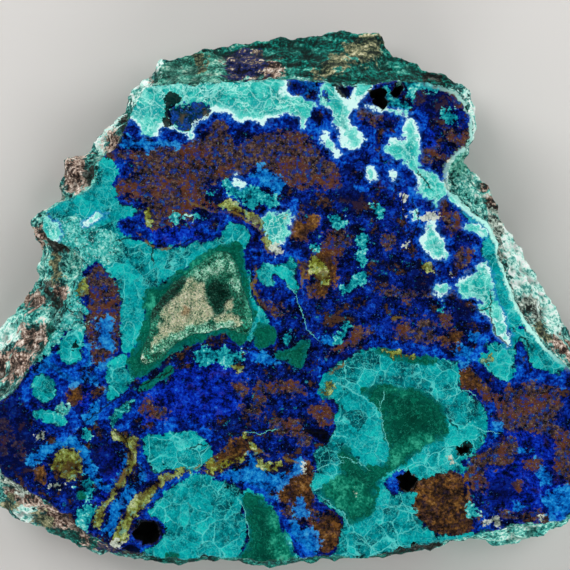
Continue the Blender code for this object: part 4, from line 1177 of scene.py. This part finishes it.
    # Malachite: green, darker along its edges, faintly banded.
    core = addNode(tree, "Math", {0: wobble, 1: 6.0, 2: edges["malachite"]}, operation="MULTIPLY_ADD")
    core = addNode(tree, "Math", {0: core, 1: 1 / 9}, operation="MULTIPLY")
    malachite = addNode(tree, "ValToRGB", {0: core}, stops=ore["malachite"])
    malachite = stain(tree, malachite, "#067058", soft, 0.53, 0.68, 0.7)
    malachite = stain(tree, malachite, "#002820", soft, 0.47, 0.36, 0.6)
    malachite = stain(tree, malachite, "#2c9a84", grown["speck"], 0.62, 0.74, 0.35)
    malachite = stain(tree, malachite, "#1f8a72", vein, 0.014, 0.004, 0.4)
    bands = addNode(tree, "Math", {0: core, 1: 9.0}, operation="MULTIPLY")
    bands = addNode(tree, "Math", {0: bands, 1: 0.45}, operation="PINGPONG")
    malachite = stain(tree, malachite, "#013529", bands, 0.20, 0.06, 0.45)
    malachite = stain(tree, malachite, addNode(tree, "ValToRGB", {0: mottle}, stops=ore["paleGreen"]),
                      inside["paleGreen"], 0.0, 1.0, 0.7)
    colour = stain(tree, colour, malachite, inside["malachite"], 0.0, 1.0)

    # Ochre: olive-yellow iron stain between dark borders; then pale crumbs, and black grains with painted shade round
    # the pits.
    olive = addNode(tree, "ValToRGB", {0: soft}, stops=ore["olive"])
    olive = stain(tree, olive, "#4c3822", grown["patches"], 0.53, 0.60, 0.7)
    olive = stain(tree, olive, "#6fae9a", grown["flakes"], 0.55, 0.62, 0.6)
    streaks = addNode(tree, "Math", {0: edges["olive"], 1: 1.3}, operation="MULTIPLY")
    streaks = addNode(tree, "Math", {0: fray, 1: 0.6, 2: streaks}, operation="MULTIPLY_ADD")
    streaks = addNode(tree, "Math", {0: streaks, 1: 0.5}, operation="PINGPONG")
    olive = stain(tree, olive, "#231d0c", streaks, 0.18, 0.04, 0.6)
    olive = stain(tree, olive, "#2a1c0e", edges["olive"], 0.45, 0.05, 0.9)
    colour = stain(tree, colour, olive, inside["olive"], 0.0, 1.0, 0.92)
    colour = stain(tree, colour, addNode(tree, "ValToRGB", {0: mottle}, stops=ore["cream"]), edges["cream"],
                   0.15, 0.35, 0.9)
    # Black grains, and painted shade round the pits' mouths.
    colour = stain(tree, colour, "#020304", inside["black"], 0.0, 1.0, 0.95)

    # Fine lines: dark cracks between the minerals, pale ones across them and threads of ochre.
    for name, code, width, share in ore["lines"]:
        side = addNode(tree, "Attribute", attribute_name=name + "Side").outputs["Fac"]
        near = addNode(tree, "Attribute", attribute_name=name + "Near").outputs["Fac"]
        across = addNode(tree, "Math", {0: wobble, 1: 2.4, 2: side}, operation="MULTIPLY_ADD")
        across = addNode(tree, "Math", {0: fray, 1: 0.8, 2: across}, operation="MULTIPLY_ADD")
        away = addNode(tree, "Math", {0: across}, operation="ABSOLUTE")
        close = addNode(tree, "MapRange", {"Value": near, "From Min": 1.3, "From Max": 0.8, "To Max": share})
        if name == "ochre":
            close = addNode(tree, "Math", {0: close, 1: partly}, operation="MULTIPLY")
        colour = stain(tree, colour, code, away, width * 1.6, width * 0.6, close)
    # Painted shade: the walls of the pits are painted near black.
    pit = addNode(tree, "Attribute", attribute_name="pit").outputs["Fac"]
    colour = stain(tree, colour, "#030404", pit, 0.2, 0.8)
    faceColour = colour

    # The broken rim: the same minerals weathered to pale green crust, with stained and dark ground, painted shade
    # between its knobs and painted light on their tops.
    atRight = addNode(tree, "Mapping", {"Vector": place, "Rotation": (0.0, 0.0, math.radians(62)),
                                        "Scale": (0.28, 1.3, 0.8)})
    atRight = addNode(tree, "TexNoise", {"Vector": atRight, "Scale": 1 / 1.6, "Detail": 3.0, "Roughness": 0.6})
    atTop = addNode(tree, "Mapping", {"Vector": place, "Rotation": (0.0, 0.0, math.radians(8)),
                                      "Scale": (0.3, 1.2, 0.8)})
    atTop = addNode(tree, "TexNoise", {"Vector": atTop, "Scale": 1 / 1.7, "Detail": 3.0, "Roughness": 0.6})
    split = addNode(tree, "SeparateXYZ", {0: place})
    rightShare = addNode(tree, "MapRange", {"Value": split.outputs["X"], "From Min": 24.0, "From Max": 36.0})
    topShare = addNode(tree, "MapRange", {"Value": split.outputs["Y"], "From Min": 36.0, "From Max": 39.0})
    lay = addNode(tree, "Mix", {0: rightShare, 2: grown["coarse"], 3: atRight})
    lay = addNode(tree, "Mix", {0: topShare, 2: lay, 3: atTop})
    rimMottle = addNode(tree, "Math", {0: fray, 1: 0.9, 2: lay}, operation="MULTIPLY_ADD")
    rimMottle = addNode(tree, "Math", {0: pepper, 1: 0.5, 2: rimMottle}, operation="MULTIPLY_ADD")
    crust = addNode(tree, "ValToRGB", {0: rimMottle}, stops=ore["crust"])
    for name, stops in ore["rim"].items():
        drawn = addNode(tree, "Attribute", attribute_name=name).outputs["Fac"]
        edge = addNode(tree, "Math", {0: wobble, 1: 9.0, 2: drawn}, operation="MULTIPLY_ADD")
        edge = addNode(tree, "Math", {0: fray, 1: 2.4, 2: edge}, operation="MULTIPLY_ADD")
        crust = stain(tree, crust, addNode(tree, "ValToRGB", {0: rimMottle}, stops=stops), edge, -0.3, 0.3)
    rise = addNode(tree, "Attribute", attribute_name="rise").outputs["Fac"]
    # Painted shade darkens the sunk places between the knobs, and painted light pales the knobs' tops, by the height of
    # the relief.
    crust = stain(tree, crust, "#0a1c1a", rise, -0.14, -0.60, 0.7)
    crust = stain(tree, crust, "#e2f2e8", rise, 0.28, 0.60, 0.35)

    drawn = addNode(tree, "Attribute", attribute_name="insideFace").outputs["Fac"]
    edge = addNode(tree, "Math", {0: wobble, 1: 2.4, 2: drawn}, operation="MULTIPLY_ADD")
    edge = addNode(tree, "Math", {0: fray, 1: 1.0, 2: edge}, operation="MULTIPLY_ADD")
    # A thread of white chrysocolla follows the right edge of the face.
    threaded = addNode(tree, "MapRange", {"Value": split.outputs["Y"], "From Min": -14.0, "From Max": -8.0})
    threaded = addNode(tree, "Math", {0: threaded, 1: rightShare}, operation="MULTIPLY")
    colour = stain(tree, faceColour, "#b4f0e4", edge, 1.0, 0.5, threaded)
    colour = stain(tree, colour, crust, edge, 0.12, -0.20)

    # The sawn back keeps its saw dust, so it is paler and matt.
    sawn = addNode(tree, "Attribute", attribute_name="sawn").outputs["Fac"]
    dusty = addNode(tree, "Mix", {0: 0.25, 6: faceColour, 7: "#8fa39f"}, data_type="RGBA")
    colour = stain(tree, colour, dusty, sawn, 0.2, 0.8)

    polish = addNode(tree, "Attribute", attribute_name="polish").outputs["Fac"]
    rough, polished = ore["gloss"]
    roughness = addNode(tree, "MapRange", {"Value": polish, "To Min": rough, "To Max": polished})
    roughness = addNode(tree, "Math", {0: fray, 1: 0.15, 2: roughness}, operation="MULTIPLY_ADD")
    relief = addNode(tree, "MapRange", {"Value": polish, "To Min": 1.0, "To Max": 0.05})
    height = addNode(tree, "Math", {0: grown["grain"], 1: grown["coarse"]}, operation="ADD")
    height = addNode(tree, "Math", {0: height, 1: relief}, operation="MULTIPLY")
    bump = addNode(tree, "Bump", {"Height": height, "Strength": 0.7, "Distance": 0.4 * mm})
    # The rim shines less than the polish, and the pits hardly at all, so that their painted shade stays black.
    sheen = addNode(tree, "MapRange", {"Value": polish, "To Min": 0.2, "To Max": 0.5})
    sheen = addNode(tree, "MapRange", {"Value": pit, "From Min": 0.2, "From Max": 0.8, "To Min": sheen, "To Max": 0.03})
    shader = addNode(tree, "BsdfPrincipled", {"Base Color": colour, "Roughness": roughness, "Normal": bump,
                                              "IOR": 1.5, "Specular IOR Level": sheen})
    addNode(tree, "OutputMaterial", {"Surface": shader})
    return material


# The crystals' own colours, from the green ones to the cream ones, the pocket's and the tan ones.
druseTints = {
    "green": [(0.22, "#013a2b"), (0.34, "#066a50"), (0.46, "#14967a"), (0.62, "#5cc8a6"), (0.78, "#c4f2dc")],
    "cream": [(0.20, "#1c5a44"), (0.30, "#74a684"), (0.40, "#c4d8b4"), (0.50, "#eee8cc"), (0.66, "#fffcf0")],
    "frost": [(0.22, "#04503e"), (0.32, "#1c9878"), (0.42, "#7cd0b0"), (0.54, "#c8f4e0"), (0.72, "#f8fffa")],
    "tan": [(0.26, "#4c5038"), (0.40, "#a08c62"), (0.56, "#dccca8")],
    "pocket": [(0.30, "#002019"), (0.44, "#034234"), (0.58, "#0c6a54"), (0.76, "#7cc8ac")],
}


def makeDruseMaterial():
    # Malachite druse: a crust of tiny grown crystals, which sparkle a little and look like green sugar.
    material, tree = emptyMaterial("malachiteDruse")
    coords = addNode(tree, "TexCoord").outputs["Object"]
    place = addNode(tree, "VectorMath", {0: coords, "Scale": 1 / mm}, operation="SCALE")
    coarse = addNode(tree, "TexNoise", {"Vector": place, "Scale": 1 / 1.6, "Detail": 3.0, "Roughness": 0.6})
    grain = addNode(tree, "TexNoise", {"Vector": place, "Scale": 1 / 0.35, "Detail": 2.0, "Roughness": 0.6})
    wobble = addNode(tree, "Math", {0: coarse, 1: 0.5}, operation="SUBTRACT")
    tip = addNode(tree, "Attribute", attribute_name="crystal").outputs["Fac"]
    tone = addNode(tree, "Math", {0: tip, 1: 0.34, 2: -0.58}, operation="MULTIPLY_ADD")
    tone = addNode(tree, "Math", {0: grain, 1: 1.10, 2: tone}, operation="MULTIPLY_ADD")
    tone = addNode(tree, "Math", {0: coarse, 1: 0.7, 2: tone}, operation="MULTIPLY_ADD")
    colour = addNode(tree, "ValToRGB", {0: tone}, stops=druseTints["green"])
    for name in ("cream", "frost", "tan", "pocket"):
        drawn = addNode(tree, "Attribute", attribute_name=name).outputs["Fac"]
        edge = addNode(tree, "Math", {0: wobble, 1: 3.5, 2: drawn}, operation="MULTIPLY_ADD")
        colour = stain(tree, colour, addNode(tree, "ValToRGB", {0: tone}, stops=druseTints[name]), edge, -0.35, 0.35)
    shader = addNode(tree, "BsdfPrincipled", {"Base Color": colour, "Roughness": 0.45, "IOR": 1.66})
    addNode(tree, "OutputMaterial", {"Surface": shader})
    return material


# The view from straight above, the lights round it and the pale ground.
studio = {
    "cameraHeight": 800 * mm,
    "ground": "#d5d2cf",
    "groundSize": 3.0,
    "panels": [
        # place, size across and strength of each soft panel, in metres and watts
        ((-0.75, 0.65, 0.70), 0.9, 8.6),
        ((0.80, 0.35, 0.65), 0.9, 5.8),
        ((0.05, -0.95, 0.65), 0.9, 5.8),
    ],
    "ambient": 0.68,
}


def makeStudio():
    bpy.ops.object.select_all(action="DESELECT")
    bpy.ops.mesh.primitive_plane_add(size=studio["groundSize"], location=(0, 0, 0))
    ground = bpy.context.active_object
    ground.name = "ground"
    material, tree = emptyMaterial("paleGround")
    shader = addNode(tree, "BsdfPrincipled", {"Base Color": studio["ground"], "Roughness": 0.9,
                                              "Specular IOR Level": 0.1})
    addNode(tree, "OutputMaterial", {"Surface": shader})
    ground.data.materials.append(material)

    x, y = placeOf(*drawing["middle"])
    bpy.ops.object.camera_add(location=(x, y, faceHeight + studio["cameraHeight"]), rotation=(0, 0, 0))
    camera = bpy.context.active_object
    camera.data.sensor_fit = "HORIZONTAL"
    wide = drawing["steps"] * drawing["step"]
    camera.data.angle = 2 * math.atan(wide / 2 / studio["cameraHeight"])
    bpy.context.scene.camera = camera

    for spot, size, power in studio["panels"]:
        bpy.ops.object.light_add(type="AREA", location=spot)
        panel = bpy.context.active_object
        panel.data.shape = "DISK"
        panel.data.size = size
        panel.data.energy = power
        panel.rotation_euler = (-Vector(spot)).to_track_quat("-Z", "Y").to_euler()
        panel.visible_glossy = False      # the polish mirrors the pale room alone, from any side

    # The room is pale all round and dark straight overhead, so that the polish shows no glare.
    world = bpy.data.worlds.new("studioRoom")
    world.use_nodes = True
    bpy.context.scene.world = world
    tree = world.node_tree
    tree.nodes.clear()
    height = addNode(tree, "SeparateXYZ", {0: addNode(tree, "TexCoord").outputs["Generated"]}).outputs["Z"]
    room = addNode(tree, "ValToRGB", {0: height}, stops=[(0.0, "#ffffff"), (0.55, "#ffffff"), (0.85, "#202020")])
    shader = addNode(tree, "Background", {"Color": room, "Strength": studio["ambient"]})
    addNode(tree, "OutputWorld", {"Surface": shader})
    bpy.context.scene.view_settings.view_transform = "Standard"
    bpy.context.scene.view_settings.look = "None"
    print("studio ready")


makeStudio()

stone = makeStone()
stone.data.materials.clear()
stone.data.materials.append(makeOre())
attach(stone, "root")
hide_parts("slice")

druse = makeDruse(stone)
druse.data.materials.clear()
druse.data.materials.append(makeDruseMaterial())
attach(druse, "root")
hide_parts("malachite_druse")
